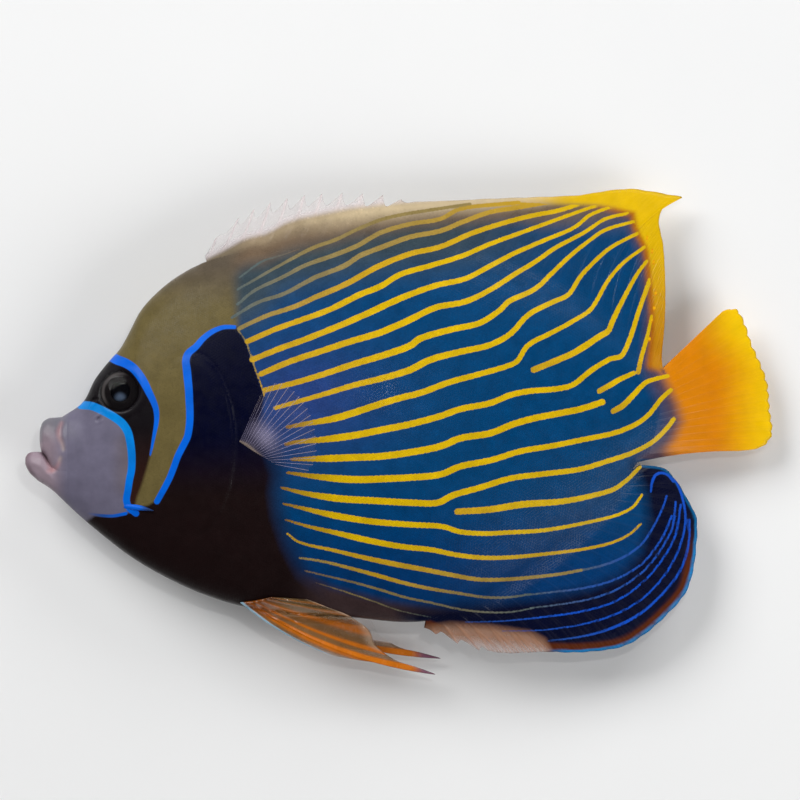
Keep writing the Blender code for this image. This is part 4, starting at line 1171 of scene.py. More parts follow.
class NodeTree:
    """A new material, and short ways to add nodes to it."""

    def __init__(self, name: str) -> None:
        """Starts from the material's own shader."""
        self.made = bpy.data.materials.new(name)
        self.made.use_nodes = True
        self.shader = self.made.node_tree.nodes["Principled BSDF"]
        self.object = self.node("ShaderNodeTexCoord", "Object", {})

    def link(self, value: object, socket: NodeSocket) -> None:
        """Feeds a socket from another one, or sets its number."""
        if isinstance(value, NodeSocket):
            self.made.node_tree.links.new(value, socket)
        else:
            socket.default_value = value

    def feed(self, name: str, value: object) -> None:
        """Feeds one of the shader's own sockets."""
        self.link(value, self.shader.inputs[name])

    def node(
        self, kind: str, output: str | int, inputs: dict[str | int, object], **settings: str,
    ) -> NodeSocket:
        """Adds a node.

        Args:
            kind: The node's type.
            output: The output that is wanted of it.
            inputs: What feeds its inputs.
            settings: Its own settings, which are made first.

        Returns:
            The output.
        """
        node = self.made.node_tree.nodes.new(kind)
        for name, value in settings.items():
            setattr(node, name, value)
        for name, value in inputs.items():
            self.link(value, node.inputs[name])
        return node.outputs[output]

    def attribute(self, name: str, output: str) -> NodeSocket:
        """Reads an attribute of the mesh."""
        return self.node("ShaderNodeAttribute", output, {}, attribute_name=name)

    def noise(self, scale: float, detail: float) -> NodeSocket:
        """A noise of this many features to the metre."""
        inputs = {"Vector": self.object, "Scale": scale, "Detail": detail}
        return self.node("ShaderNodeTexNoise", "Fac", inputs)

    def math(self, operation: str, a: object, b: object) -> NodeSocket:
        """One step of arithmetic."""
        return self.node("ShaderNodeMath", 0, {0: a, 1: b}, operation=operation)

    def range(self, value: object, span: Span, onto: Span) -> NodeSocket:
        """Maps one range of numbers on another, kept inside it."""
        names = ("From Min", "From Max", "To Min", "To Max")
        inputs = {"Value": value, **dict(zip(names, (*span, *onto)))}
        return self.node("ShaderNodeMapRange", "Result", inputs)

    def mix(self, under: object, over: object, share: object) -> NodeSocket:
        """Lays one colour over another."""
        inputs = {"Factor": share, "A": under, "B": over}
        return self.node("ShaderNodeMix", "Result", inputs, data_type="RGBA")

    def times(self, colour: object, light: NodeSocket) -> NodeSocket:
        """Makes a colour lighter or darker."""
        return self.node("ShaderNodeVectorMath", 0, {0: colour, "Scale": light}, operation="SCALE")

    def bump(self, value: object, strength: float, distance: float) -> NodeSocket:
        """A bumped normal."""
        inputs = {"Strength": strength, "Distance": distance, "Height": value}
        return self.node("ShaderNodeBump", "Normal", inputs)


def add(name: str, data: bpy.types.ID) -> Object:
    """Links a new object with this data to the scene."""
    ob = bpy.data.objects.new(name, data)
    bpy.context.scene.collection.objects.link(ob)
    return ob


def finished(bm: bmesh.types.BMesh, name: str) -> Mesh:
    """Turns a bmesh into a mesh."""
    mesh = bpy.data.meshes.new(name)
    bm.to_mesh(mesh)
    bm.free()
    return mesh


def piece(name: str, mesh: Mesh, made: Material, slot: str, *nodes: str) -> Object:
    """Links a finished mesh as a piece that rides on the fish.

    Args:
        name: The piece's name.
        mesh: Its mesh.
        made: Its material.
        slot: The record's slot that its finish belongs to; not used.
        nodes: The solids that it stands for.

    Returns:
        The piece's object.
    """
    mesh.materials.clear()
    mesh.materials.append(made)
    mesh.shade_smooth()
    ob = add(name, mesh)
    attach(ob, "root")
    if nodes:
        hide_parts(*nodes)
    mesh.calc_loop_triangles()
    LOG.info("%s: %d triangles", name, len(mesh.loop_triangles))
    return ob


def sheet(
    name: str, columns: int, rows: int, place: Callable[[Array, Array, Side], Array],
) -> Mesh:
    """Builds a closed sheet from a grid for each flank, welded round their rims.

    Args:
        name: The mesh's name.
        columns: Grid cells along it.
        rows: Grid cells across it.
        place: Gives points in millimetres for shares along and across.

    Returns:
        The mesh, with the shares kept as attributes and as its UV map for baking.
    """
    bm = bmesh.new()
    fan = bm.verts.layers.float.new("fan")
    reach = bm.verts.layers.float.new("reach")
    flank = bm.faces.layers.int.new("flank")
    for side in Side:
        verts = bmesh.ops.create_grid(bm, x_segments=columns, y_segments=rows, size=0.5)["verts"]
        shares = np.array([v.co[:2] for v in verts]) + 0.5
        points = place(shares[:, 0], shares[:, 1], side) * MM
        for vert, share, point in zip(verts, shares, points):
            vert[fan], vert[reach] = share
            vert.co = point
        if side is Side.RIGHT:
            faces = list({face for vert in verts for face in vert.link_faces})
            for face in faces:
                face[flank] = 1
            bmesh.ops.reverse_faces(bm, faces=faces)
    bmesh.ops.remove_doubles(bm, verts=bm.verts, dist=2e-6)
    bmesh.ops.dissolve_degenerate(bm, edges=bm.edges, dist=1e-7)
    mesh = finished(bm, name)
    corners = np.zeros(len(mesh.loops), int)
    mesh.loops.foreach_get("vertex_index", corners)
    count = np.zeros(len(mesh.polygons), int)
    mesh.polygons.foreach_get("loop_total", count)
    flanks = np.zeros(len(mesh.polygons), int)
    mesh.attributes["flank"].data.foreach_get("value", flanks)
    u, v = values_of(mesh, "fan")[corners], values_of(mesh, "reach")[corners]
    v = (v * 0.96 + 0.02 + np.repeat(flanks, count)) / 2.0
    bake_map(mesh, np.stack([u * 0.98 + 0.01, v], axis=-1))
    return mesh


def values_of(mesh: Mesh, name: str) -> Array:
    """Reads one number for each point of a mesh."""
    out = np.zeros(len(mesh.vertices), np.float32)
    mesh.attributes[name].data.foreach_get("value", out)
    return out


def places_of(mesh: Mesh) -> Array:
    """Reads the points of a mesh, in millimetres."""
    out = np.zeros(len(mesh.vertices) * 3, np.float32)
    mesh.vertices.foreach_get("co", out)
    return out.reshape(-1, 3) / MM


def bake_map(mesh: Mesh, corners: Array) -> None:
    """Gives a mesh the UV map that its material is baked with."""
    layer = mesh.uv_layers.new(name="OFBake")
    layer.data.foreach_set("uv", corners.astype(np.float32).ravel())


@dataclass
class Skin:
    """The skin of head, trunk and tail stalk, in one piece."""

    markings: "Markings"
    ground: Ground
    front_x: float = -123.2
    round_x: float = -119.2
    rear_reach: float = 3.0
    head_pitch: float = 0.68
    body_pitch: float = 1.15
    head_end_x: float = -60.0
    front_rows: int = 9
    rear_rows: int = 5
    even: float = 0.45
    nose_height: float = 0.8
    tail_height: float = 0.85
    relief_from: float = 0.12
    rows: int = 160
    finish: SkinFinish = SkinFinish(
        "skin", roughness=0.34, coat=0.04, coat_roughness=0.16, specular=0.1, mottle=0.12)

    def stations(self) -> Array:
        """Places of the sections, closer together on the head."""
        turn = math.pi / 2
        nose = self.round_x - self.front_x
        start = self.front_x + nose * (1 - np.cos(np.linspace(0, turn, self.front_rows)))
        head = np.arange(self.round_x + self.head_pitch, self.head_end_x, self.head_pitch)
        body = np.arange(self.head_end_x, FORM.tail_root_x, self.body_pitch)
        end = FORM.tail_root_x + self.rear_reach * np.sin(np.linspace(0, turn, self.rear_rows))
        return np.concatenate([start, head, body, end])

    def place(self, u: Array, v: Array, side: Side) -> Array:
        """Points of the skin for shares along and across it."""
        stations = self.stations()
        x = np.interp(u, np.linspace(0, 1, len(stations)), stations)
        t = 2.0 * v - 1.0
        s = self.even * t + (1.0 - self.even) * np.sin(t * math.pi / 2)
        low, top = FORM.section_ends(x)
        nose = np.sqrt(clamp(1.0 - clamp((self.round_x - x) / (self.round_x - self.front_x)) ** 2))
        tail = np.sqrt(clamp(1.0 - clamp((x - FORM.tail_root_x) / self.rear_reach) ** 2))
        high = self.nose_height + (1.0 - self.nose_height) * nose
        high = high * (self.tail_height + (1.0 - self.tail_height) * tail)
        share = (s * high + 1.0) / 2.0
        points = low + (top - low) * share[:, None]
        px, py = points[:, 0], points[:, 1]
        half = self.ground.thickness(px, py, FORM.section_half(x, s)) * nose * tail
        half = half + FORM.relief(px, py) * ease(1.0 - s ** 2, 0.0, self.relief_from)
        half = np.where(np.abs(s) > 1.0 - 1e-6, 0.0, half - self.markings.dent(px, py) * nose)
        z = FORM.middle(px, py) + side.value * np.maximum(half, 0.0)
        return np.stack([px, py, np.maximum(z, self.ground.lowest(px, py, side))], axis=-1)

    def build(self) -> None:
        """Makes the skin and dresses it."""
        mesh = sheet("skin", len(self.stations()) - 1, self.rows, self.place)
        self.markings.dress(mesh)
        piece("skin", mesh, self.finish.make(), "flank_skin", "head", "trunk", "tail_stalk",
              "gill_cover_left", "gill_cover_right")


@dataclass
class BodyFinPiece:
    """One of the fins that carry on from the body, with its rays as ridges."""

    name: str
    fin: Fin
    markings: "Markings"
    ground: Ground
    slot: str
    nodes: tuple[str, ...]
    cells_a_ray: int = 16
    rows: int = 46
    insets: Span = (1.8, 1.1)
    inset_thinner: float = 0.06
    row_power: float = 0.9
    start_step: float = 0.05
    spine_relief: Span = (0.3, 2.2)
    spine_web: Span = (0.1, 0.6)
    ridge_from: Span = (0.0, 0.25)
    ridge_taper: float = 0.4
    least_half: float = 0.2
    ray_shade: float = 0.0
    ray_mean: float = 0.4
    ray_cover: float = 0.45
    finish: SkinFinish = SkinFinish(
        "fin_skin", roughness=0.36, coat=0.08, specular=0.12, mottle=0.06, see_through=True)

    def place(self, u: Array, v: Array, side: Side) -> Array:
        """Points of the fin for shares across its fan and out along its rays.

        The first two rows lie inside the body, so that no gap shows between them.
        """
        row = np.rint(v * self.rows).astype(int)
        hidden = len(self.insets)
        reach = clamp((row - hidden) / (self.rows - hidden)) ** self.row_power
        points, length = self.fin.place(u, reach)
        inner, _ = self.fin.place(u, np.zeros_like(u))
        ahead, _ = self.fin.place(u, np.full_like(u, self.start_step))
        way = (ahead - inner) / np.linalg.norm(ahead - inner, axis=-1, keepdims=True)
        inset = np.where(row < hidden, np.array(self.insets)[np.minimum(row, hidden - 1)], 0.0)
        points = points - way * inset[:, None]
        free = CHART.look_up(self.markings.clear, *points.T)
        low, more = self.spine_relief
        spine = np.where(u < self.fin.spine_end, low + more * ease(free, *self.spine_web), 1.0)
        ridge = self.fin.ridge * spine * self.fin.ray_height(u, reach)
        ridge = ridge * ease(reach, *self.ridge_from) * (1.0 - self.ridge_taper * reach)
        half = CHART.look_up(self.ground.half, *points.T) + ridge
        half = half - self.inset_thinner * (inset > 0)
        half = np.where(on_rim(u, v), 0.0, np.maximum(half, self.least_half))
        z = self.fin.height(*points.T) + side.value * half
        return np.concatenate([points, np.maximum(z, 0.0)[:, None]], axis=-1)

    def build(self) -> None:
        """Makes the fin and dresses it."""
        mesh = sheet(self.name, self.fin.rays * self.cells_a_ray, self.rows, self.place)
        ray = self.fin.ray_height(values_of(mesh, "fan"), values_of(mesh, "reach"))
        shade = 0.5 + self.ray_shade * (ray - self.ray_mean)
        self.markings.dress(mesh, ray=self.ray_cover * ray, vary=shade)
        piece(self.name, mesh, self.finish.make(), self.slot, *self.nodes)


def turned(name: str, profile: Table, steps: int) -> Mesh:
    """Spins a profile of radius and height, in millimetres, round the Z axis."""
    bm = bmesh.new()
    verts = [bm.verts.new((radius * MM, 0.0, height * MM)) for radius, height in profile]
    edges = [bm.edges.new(pair) for pair in zip(verts, verts[1:])]
    bmesh.ops.spin(
        bm, geom=verts + edges, cent=(0.0, 0.0, 0.0), axis=(0.0, 0.0, 1.0),
        angle=2 * math.pi, steps=steps, use_merge=True)
    bmesh.ops.remove_doubles(bm, verts=bm.verts, dist=1e-6)
    bmesh.ops.dissolve_degenerate(bm, edges=bm.edges, dist=1e-7)
    bmesh.ops.recalc_face_normals(bm, faces=bm.faces)
    return finished(bm, name)


def pectoral_tint(fan: Array, reach: Array, ray: Array, at: Array) -> Pair:
    """Colours of a clear fin with pale rays, a dark root and a painted sheen, and how clear it is."""
    colour = blend(paint("veil"), paint("lilac"), clamp(ray * 1.5))
    colour = blend(colour, paint("gristle"), 0.6 * ease(reach, 0.5, 0.9))
    # Painted sheen: a lilac patch on the web near the root, made less clear, that stands in for light
    # off the wet fin.
    painted_sheen = bell(reach - 0.3, 0.16) * bell(fan - 0.42, 0.28)
    colour = blend(colour, paint("lilac"), 0.8 * painted_sheen)
    colour = blend(colour, paint("ink"), 1.0 - ease(reach, 0.03, 0.14))
    colour = blend(colour, paint("gristle"), 0.9 * bell(reach - 0.05, 0.025))
    clear = (0.97 - 0.3 * painted_sheen) * ease(reach, 0.02, 0.14)
    return colour, clear + (0.98 - clear) * 0.5 * ease(reach, 0.85, 1.0)


def pelvic_tint(fan: Array, reach: Array, ray: Array, at: Array) -> Pair:
    """Colours of a fin with orange rays, brown webs and a pale blue front edge."""
    base = 1.0 - ease(reach, 0.0, 0.3)
    first = ease(fan, 0.165, 0.2) * (1.0 - ease(fan, 0.29, 0.33))
    orange = clamp(0.16 + 0.85 * ray + 0.3 * base + 0.8 * first) * (1.0 - 0.6 * ease(fan, 0.5, 0.8))
    colour = blend(paint("moss"), paint("orange"), orange)
    colour = blend(colour, paint("margin_brown"), 0.7 * base)
    colour = blend(colour, paint("peach"), 0.6 * ease(fan, 0.4, 0.46) * ease(reach, 0.88, 0.99))
    front = 1.0 - ease(fan, 0.08, 0.13)
    colour = blend(colour, paint("frost"), front)
    colour = blend(colour, paint("thread"), 0.9 * ease(at[:, 0], 4.0, 9.0))
    web = bell(fan - 0.125, 0.05) * ease(reach, 0.1, 0.5)
    outer = ease(reach, 0.35, 0.9) * (1.0 - ease(at[:, 0], 0.0, 4.0)) * (1.0 - first)
    return colour, clamp(0.4 * outer + 0.45 * web + 0.3 * ease(fan, 0.6, 0.9))


@dataclass
class FreeFinPiece:
    """A paired fin, which stands off the body by itself."""

    name: str
    fin: Fin
    slot: str
    tint: Callable[..., Pair]
    cells_a_ray: int = 12
    rows: int = 34
    flat_under: bool = False
    ray_cover: float = 0.6
    ridge_taper: float = 0.5
    floor_gap: float = 0.04
    bare_from: float = 2.0
    bare_over: float = 0.06
    bare_clear: float = 0.98
    finish: SkinFinish = SkinFinish(
        "free_fin", roughness=0.25, coat=0.4, specular=0.4, see_through=True, marked=False,
        mottle=0.12)

    def place(self, u: Array, v: Array, side: Side) -> Array:
        """Points of the fin for shares across its fan and out along its rays."""
        points, length = self.fin.place(u, v)
        half = self.fin.half(u, v, length)
        half = half + self.fin.ridge * self.fin.ray_height(u, v) * (1.0 - self.ridge_taper * v)
        rim = on_rim(u, v)
        half = np.where(rim, 0.0, half)
        middle = self.fin.height(*points.T)
        z = middle + side.value * half
        if self.flat_under:
            z = np.where(rim | (side is Side.RIGHT), self.floor_gap, middle + half)
        return np.concatenate([points, np.maximum(z, 0.0)[:, None]], axis=-1)

    def build(self) -> None:
        """Makes the fin and colours it."""
        mesh = sheet(self.name, self.fin.rays * self.cells_a_ray, self.rows, self.place)
        fan, reach = values_of(mesh, "fan"), values_of(mesh, "reach")
        ray = self.fin.ray_height(fan, reach)
        colours, clear = self.tint(fan, reach, ray, places_of(mesh))
        bare = ease(fan, self.bare_from, self.bare_from + self.bare_over)
        clear = clear + (self.bare_clear - clear) * bare
        tinted(mesh, {"ground": colours}, clear=clear, ray=self.ray_cover * ray * (1.0 - bare))
        piece(self.name, mesh, self.finish.make(), self.slot, self.name)


def rising(origin: Span, way: Span, rise: float, start: float) -> Height:
    """Height of a fin that rises evenly along one way from a place."""

    def height(x: Array, y: Array) -> Array:
        """Height at a place."""
        return start + rise * ((x - origin[0]) * way[0] + (y - origin[1]) * way[1])

    return height


def build_pectorals() -> None:
    """The left pectoral stands off the flank, and the right one is folded flat under it."""
    (x0, y0), (x1, y1) = PECTORAL_BASE[0], PECTORAL_BASE[-1]
    start = FORM.surface((x0 + x1) / 2, (y0 + y1) / 2, Side.LEFT).z - PECTORAL_SUNK
    outward = np.array([y0 - y1, x1 - x0])
    outward = outward / np.linalg.norm(outward)
    straight = ((0.0, 0.0, 0.0, 0.0), (1.0, 1.0, 1.0, 0.0))
    left = Fin(
        root=np.array(PECTORAL_BASE), margin=smooth_line(PECTORAL_TIPS), columns=straight,
        rays=19, root_half=((0.0, 0.8), (0.5, 1.0), (1.0, 0.7)), edge_half=0.1, taper=4.0,
        ridge=0.12, scallop=0.9, ray_width=0.045, fork=0.0,
        height=rising((x0, y0), outward, PECTORAL_RISE, start))
    right = Fin(
        root=np.array(PECTORAL_RIGHT_BASE), margin=smooth_line(PECTORAL_RIGHT_TIPS),
        columns=straight, rays=19, root_half=((0.0, 0.4), (1.0, 0.4)), edge_half=0.15,
        ridge=0.12, scallop=0.6, height=rising((0.0, 0.0), EASTWARD, 0.0, PECTORAL_RIGHT_HEIGHT))
    FreeFinPiece("pectoral_fin_left", left, "clear_fin", pectoral_tint, cells_a_ray=24,
                 ray_cover=0.85).build()
    FreeFinPiece("pectoral_fin_right", right, "clear_fin", pectoral_tint, flat_under=True).build()


def draped(ground: Ground, plain: Height, lift: float = 0.6) -> Height:
    """Height of a fin whose rear web lies on the flank where it meets it."""

    def height(x: Array, y: Array) -> Array:
        """Height at a place."""
        low = plain(x, y)
        cover = CHART.look_up(ground.height[Side.LEFT], x, y) + lift
        share = ease(CHART.look_up(ground.near, x, y), 0.0, 0.4)
        return low + np.maximum(cover - low, 0.0) * share

    return height


def build_pelvics(ground: Ground) -> None:
    """The pelvic fins: a spine and five rays, the first ray drawn out to a thread."""
    for side in Side:
        base = np.array(PELVIC_BASE)
        turn = math.radians(PELVIC_SPREAD[side])
        spin = np.array([[math.cos(turn), -math.sin(turn)], [math.sin(turn), math.cos(turn)]])
        height = rising(base[0], EASTWARD, PELVIC_SLOPE, PELVIC_START[side])
        fin = Fin(
            root=base, margin=(smooth_line(PELVIC_TIPS) - base[0]) @ spin.T + base[0],
            columns=PELVIC_COLUMNS, rays=6, root_half=((0.0, 1.2), (1.0, 0.8)), edge_half=0.2,
            ridge=0.3, scallop=0.5, ray_width=0.2, fork=0.35,
            height=draped(ground, height) if side is Side.LEFT else height)
        FreeFinPiece(f"pelvic_fin_{side.name.lower()}", fin, "orange_fin", pelvic_tint,
                     cells_a_ray=30, rows=44, bare_from=PELVIC_BARE[side]).build()


CORNEA_COLOUR = (0.004, 0.004, 0.006, 1.0)
UPPER_LIP: Table = (
    (-129.7, -6.8, 2.4, 3.2), (-129.0, -7.6, 3.2, 4.0), (-128.2, -8.2, 4.0, 4.7),
    (-127.1, -9.6, 4.7, 5.2), (-126.0, -11.4, 5.1, 5.6), (-124.9, -13.4, 5.2, 6.0),
    (-123.5, -14.0, 5.3, 6.4), (-121.7, -14.0, 5.4, 6.9), (-117.0, -14.0, 8.6, 7.0),
)
LOWER_LIP: Table = (
    (-134.9, -13.0, -8.0, 2.6), (-134.0, -14.2, -7.5, 3.6), (-132.4, -15.7, -7.2, 4.5),
    (-130.3, -17.6, -7.1, 5.2), (-129.0, -18.4, -7.2, 5.6), (-127.5, -19.3, -8.8, 5.9),
    (-126.2, -20.2, -11.0, 6.2), (-124.9, -21.2, -13.4, 6.5), (-123.5, -22.4, -14.0, 6.7),
    (-121.7, -24.2, -14.0, 7.0), (-117.0, -28.6, -14.0, 7.1),
)


@dataclass
class Lip:
    """One fleshy lip, which takes on the snout's own section where it meets it."""

    name: str
    table: Table
    tip_y: float
    upper: bool
    markings: Markings
    blunt_over: float = 2.2
    power: float = 0.42
    wrinkle: float = 0.015
    wrinkles: Span = (9.0, 2.0)
    lap: float = 2.4
    lap_from: float = -1.2
    joins: Span = (-127.5, -122.2)
    narrows: float = 0.12
    tip_height: float = 0.35
    tip_width: float = 0.25
    drop: Span = (0.14, 0.11)
    drop_ends: Span = (-124.6, -121.6)
    sink: float = 0.07
    sinks: Span = (-119.7, -118.2)
    columns: int = 72
    rows: int = 60
    finish: SkinFinish = SkinFinish(
        "lips", roughness=0.32, coat=0.08, coat_roughness=0.14, specular=0.12, mottle=0.12)

    def snout(self, x: Array, y: Array) -> Pair:
        """The snout's half thickness, drawn on forwards over both lips, and its middle row."""
        low, top = FORM.section_ends(np.maximum(x, FORM.snout_x))
        low = np.where(x > FORM.snout_x, low[..., 1], read(LOWER_LIP, x, 1))
        top = np.where(x > FORM.snout_x, top[..., 1], read(UPPER_LIP, x, 2))
        s = clamp((2.0 * y - top - low) / (top - low), -1.0, 1.0)
        half = FORM.section_half(np.maximum(x, FORM.snout_x), s)
        narrow = self.narrows * ease(x, FORM.snout_x, self.joins[0])
        return half * (1.0 - narrow), (low + top) / 2.0

    def place(self, u: Array, v: Array, side: Side) -> Array:
        """Points of the lip, from its blunt tip back into the snout."""
        table = np.array(self.table, float)
        span = table[-1, 0] - table[0, 0]
        x = table[0, 0] + span * (1.0 - np.cos(u * math.pi / 2))
        low, top, width = (read(self.table, x, k) for k in (1, 2, 3))
        join = ease(x, *self.joins)
        line = low if self.upper else top
        outer = FORM.section_ends(np.maximum(x, FORM.snout_x))[int(self.upper)][..., 1]
        outer = np.where(x > FORM.snout_x, outer, top if self.upper else low)
        inner = line + (-self.lap if self.upper else self.lap) * join
        low, top = (inner, outer) if self.upper else (outer, inner)
        blunt = clamp(1.0 - (1.0 - clamp((x - table[0, 0]) / self.blunt_over)) ** 2) ** 0.5
        high = self.tip_height + (1.0 - self.tip_height) * blunt
        low, top = (self.tip_y + (edge - self.tip_y) * high for edge in (low, top))
        s = np.sin((v - 0.5) * math.pi)
        y = low + (top - low) * (s + 1.0) / 2.0
        wide = self.tip_width + (1.0 - self.tip_width) * blunt
        own = width * wide * clamp(1.0 - s ** 2) ** self.power
        wave = np.sin(self.wrinkles[0] * s + self.wrinkles[1] * u) * (1 - s ** 2)
        own = own * (1.0 + self.wrinkle * wave * ease(u, 0.1, 0.5))
        past = (line - y) if self.upper else (y - line)
        whole, middle = self.snout(x, y)
        drop = self.drop[0] - self.drop[1] * ease(x, *self.drop_ends)
        drop = drop * ease(past, self.lap_from, self.lap)
        half = own * (1.0 - join) + whole * join * (1.0 - drop)
        sunk = self.sink * ease(x, *self.sinks)
        half = half * (1.0 - sunk) - self.markings.dent(x, y) * ease(s ** 2, 1.0, 0.7)
        half = np.where(on_rim(u, v), 0.0, half)
        y = y + sunk * (middle - y)
        z = FORM.middle(x, y) + side.value * np.maximum(half, 0.0)
        return np.stack([x, y, z], axis=-1)

    def build(self) -> None:
        """Makes the lip and dresses it like the skin that it joins."""
        mesh = sheet(self.name, self.columns, self.rows, self.place)
        self.markings.dress(mesh)
        piece(self.name, mesh, self.finish.make(), "lip_skin", self.name)


@dataclass
class Eye:
    """An eye: a dished iris with the lens in its pupil, under a clear dome."""

    side: Side
    radius: float = 8.2
    depth: float = 3.0
    lift: float = 1.5
    turn: float = 0.55
    pupil: float = 3.9
    steps: int = 64
    iris: Table = (
        (3.6, 1.7), (3.9, 2.0), (4.4, 2.05), (5.0, 1.95), (5.6, 1.8), (6.2, 1.6), (6.7, 1.35),
        (7.2, 1.05), (7.5, 0.7), (6.8, -0.6), (0.0, -0.8),
    )
    # The painted highlight on the iris's rim: its radius and width, the angle it faces and how far
    # round it reaches.
    ring: Span = (6.5, 0.5)
    highlight_at: float = 2.6
    highlight_span: Span = (0.0, 0.8)
    # The painted reflection on the lens: its offset from the eye's middle, and the distances over
    # which it fades out.
    painted_lens_reflection: Span = (-0.1, -2.5)
    painted_lens_reflection_edge: Span = (2.9, 0.5)
    lens_height: float = 2.3
    lens_base: float = 0.2
    dome_power: float = 3.2
    dome_foot: Table = ((7.0, -1.0), (0.0, -1.3))

    def stand(self, mesh: Mesh) -> None:
        """Sets a mesh that stands at the origin in its socket."""
        turn = FORM.turn(*FORM.eye, self.side, self.turn)
        home = FORM.surface(*FORM.eye, self.side) * MM
        home = home + turn.to_3x3() @ Vector((0.0, 0.0, (self.lift - self.depth) * MM))
        mesh.transform(Matrix.Translation(home) @ turn)

    def build(self) -> None:
        """Makes iris, lens and cornea."""
        word = self.side.name.lower()
        iris = turned("iris", self.iris, self.steps)
        at = places_of(iris)
        away = np.hypot(at[:, 0], at[:, 1])
        self.stand(iris)
        at = places_of(iris)
        angle = np.arctan2(at[:, 1] - FORM.eye[1], at[:, 0] - FORM.eye[0])
        # The iris's grey rim, painted only on its upper-left side towards the key lamp, is a painted
        # highlight.
        ring = bell(away - self.ring[0], self.ring[1])
        ring = ring * ease(np.cos(angle - self.highlight_at), *self.highlight_span)
        tinted(iris, {"ground": blend(paint("iris"), paint("iris_highlight"), ring)})
        plain = SkinFinish("iris", roughness=0.6, coat=0.0, specular=0.05, marked=False, bump=0.1)
        piece(f"iris_{word}", iris, plain.make(), "eye", f"eye_{word}")
        lens = turned("lens", tuple(
            (self.pupil * math.sin(t), self.lens_base + self.lens_height * math.cos(t))
            for t in np.linspace(0.0, math.pi, 24)), self.steps)
        self.stand(lens)
        # A grey-blue painted reflection on the dark lens, a little below its middle.
        at = places_of(lens)
        from_reflection = at[:, :2] - FORM.eye - self.painted_lens_reflection
        painted_reflection = ease(np.linalg.norm(from_reflection, axis=1), *self.painted_lens_reflection_edge)
        tinted(lens, {"ground": blend(paint("pupil"), paint("lens"), painted_reflection)})
        glassy = SkinFinish("lens", roughness=0.6, coat=0.0, specular=0.02, marked=False, bump=0.0)
        piece(f"lens_{word}", lens, glassy.make(), "eye")
        dome = tuple(
            (self.radius * share, self.depth * math.sqrt(1.0 - share ** self.dome_power))
            for share in np.sin(np.linspace(0.0, math.pi / 2, 28)))
        cornea = turned("cornea", (*dome, *self.dome_foot), self.steps)
        self.stand(cornea)
        piece(f"cornea_{word}", cornea, self.clear(), "eye")

    @staticmethod
    def clear() -> Material:
        """A dark, clear and very smooth dome."""
        tree = NodeTree("cornea")
        tree.feed("Base Color", CORNEA_COLOUR)
        tree.feed("Alpha", 0.17)
        tree.feed("Roughness", 0.04)
        tree.feed("Specular IOR Level", 0.3)
        return tree.made


@dataclass
class CheekSpine:
    """The spine at the lower rear corner of a cheek."""

    side: Side
    root: Span = (-98.4, -26.6)
    tip: Span = (-88.2, -28.2)
    radius: float = 1.25
    sunk: float = 1.2
    lift: float = 1.2
    bend: float = 0.2
    rows: int = 18
    steps: int = 24
    taper: Span = (1.6, 0.8)
    blunt: float = 0.06
    tip_dark: float = 0.9
    tip_from: Span = (0.45, 0.85)
    finish: SkinFinish = SkinFinish(
        "cheek_spine", roughness=0.42, coat=0.0, specular=0.12, marked=False, mottle=0.1)

    def build(self) -> None:
        """Makes the spine and colours it."""
        start = FORM.surface(*self.root, self.side, -self.sunk)
        end = FORM.surface(*self.tip, self.side, self.lift)
        way = end - start
        shares = np.linspace(0.0, 1.0, self.rows)
        widths = self.radius * (1.0 - shares ** self.taper[0]) ** self.taper[1] + self.blunt
        profile = tuple(zip(widths, shares * way.length))
        mesh = turned("spine", ((0.0, 0.0), *profile, (0.0, way.length + 0.1)), self.steps)
        at = places_of(mesh)
        share = clamp(at[:, 2] / way.length)
        at[:, 0] += self.bend * 4.0 * share * (1.0 - share)
        mesh.vertices.foreach_set("co", (at * MM).ravel())
        dark = self.tip_dark * ease(share, *self.tip_from)
        tinted(mesh, {"ground": blend(paint("line"), paint("spine_tip"), dark)})
        turn = way.to_track_quat("Z", "Y").to_matrix().to_4x4()
        mesh.transform(Matrix.Translation(start * MM) @ turn)
        name = f"cheek_spine_{self.side.name.lower()}"
        piece(name, mesh, self.finish.make(), "cheek_spine", name)


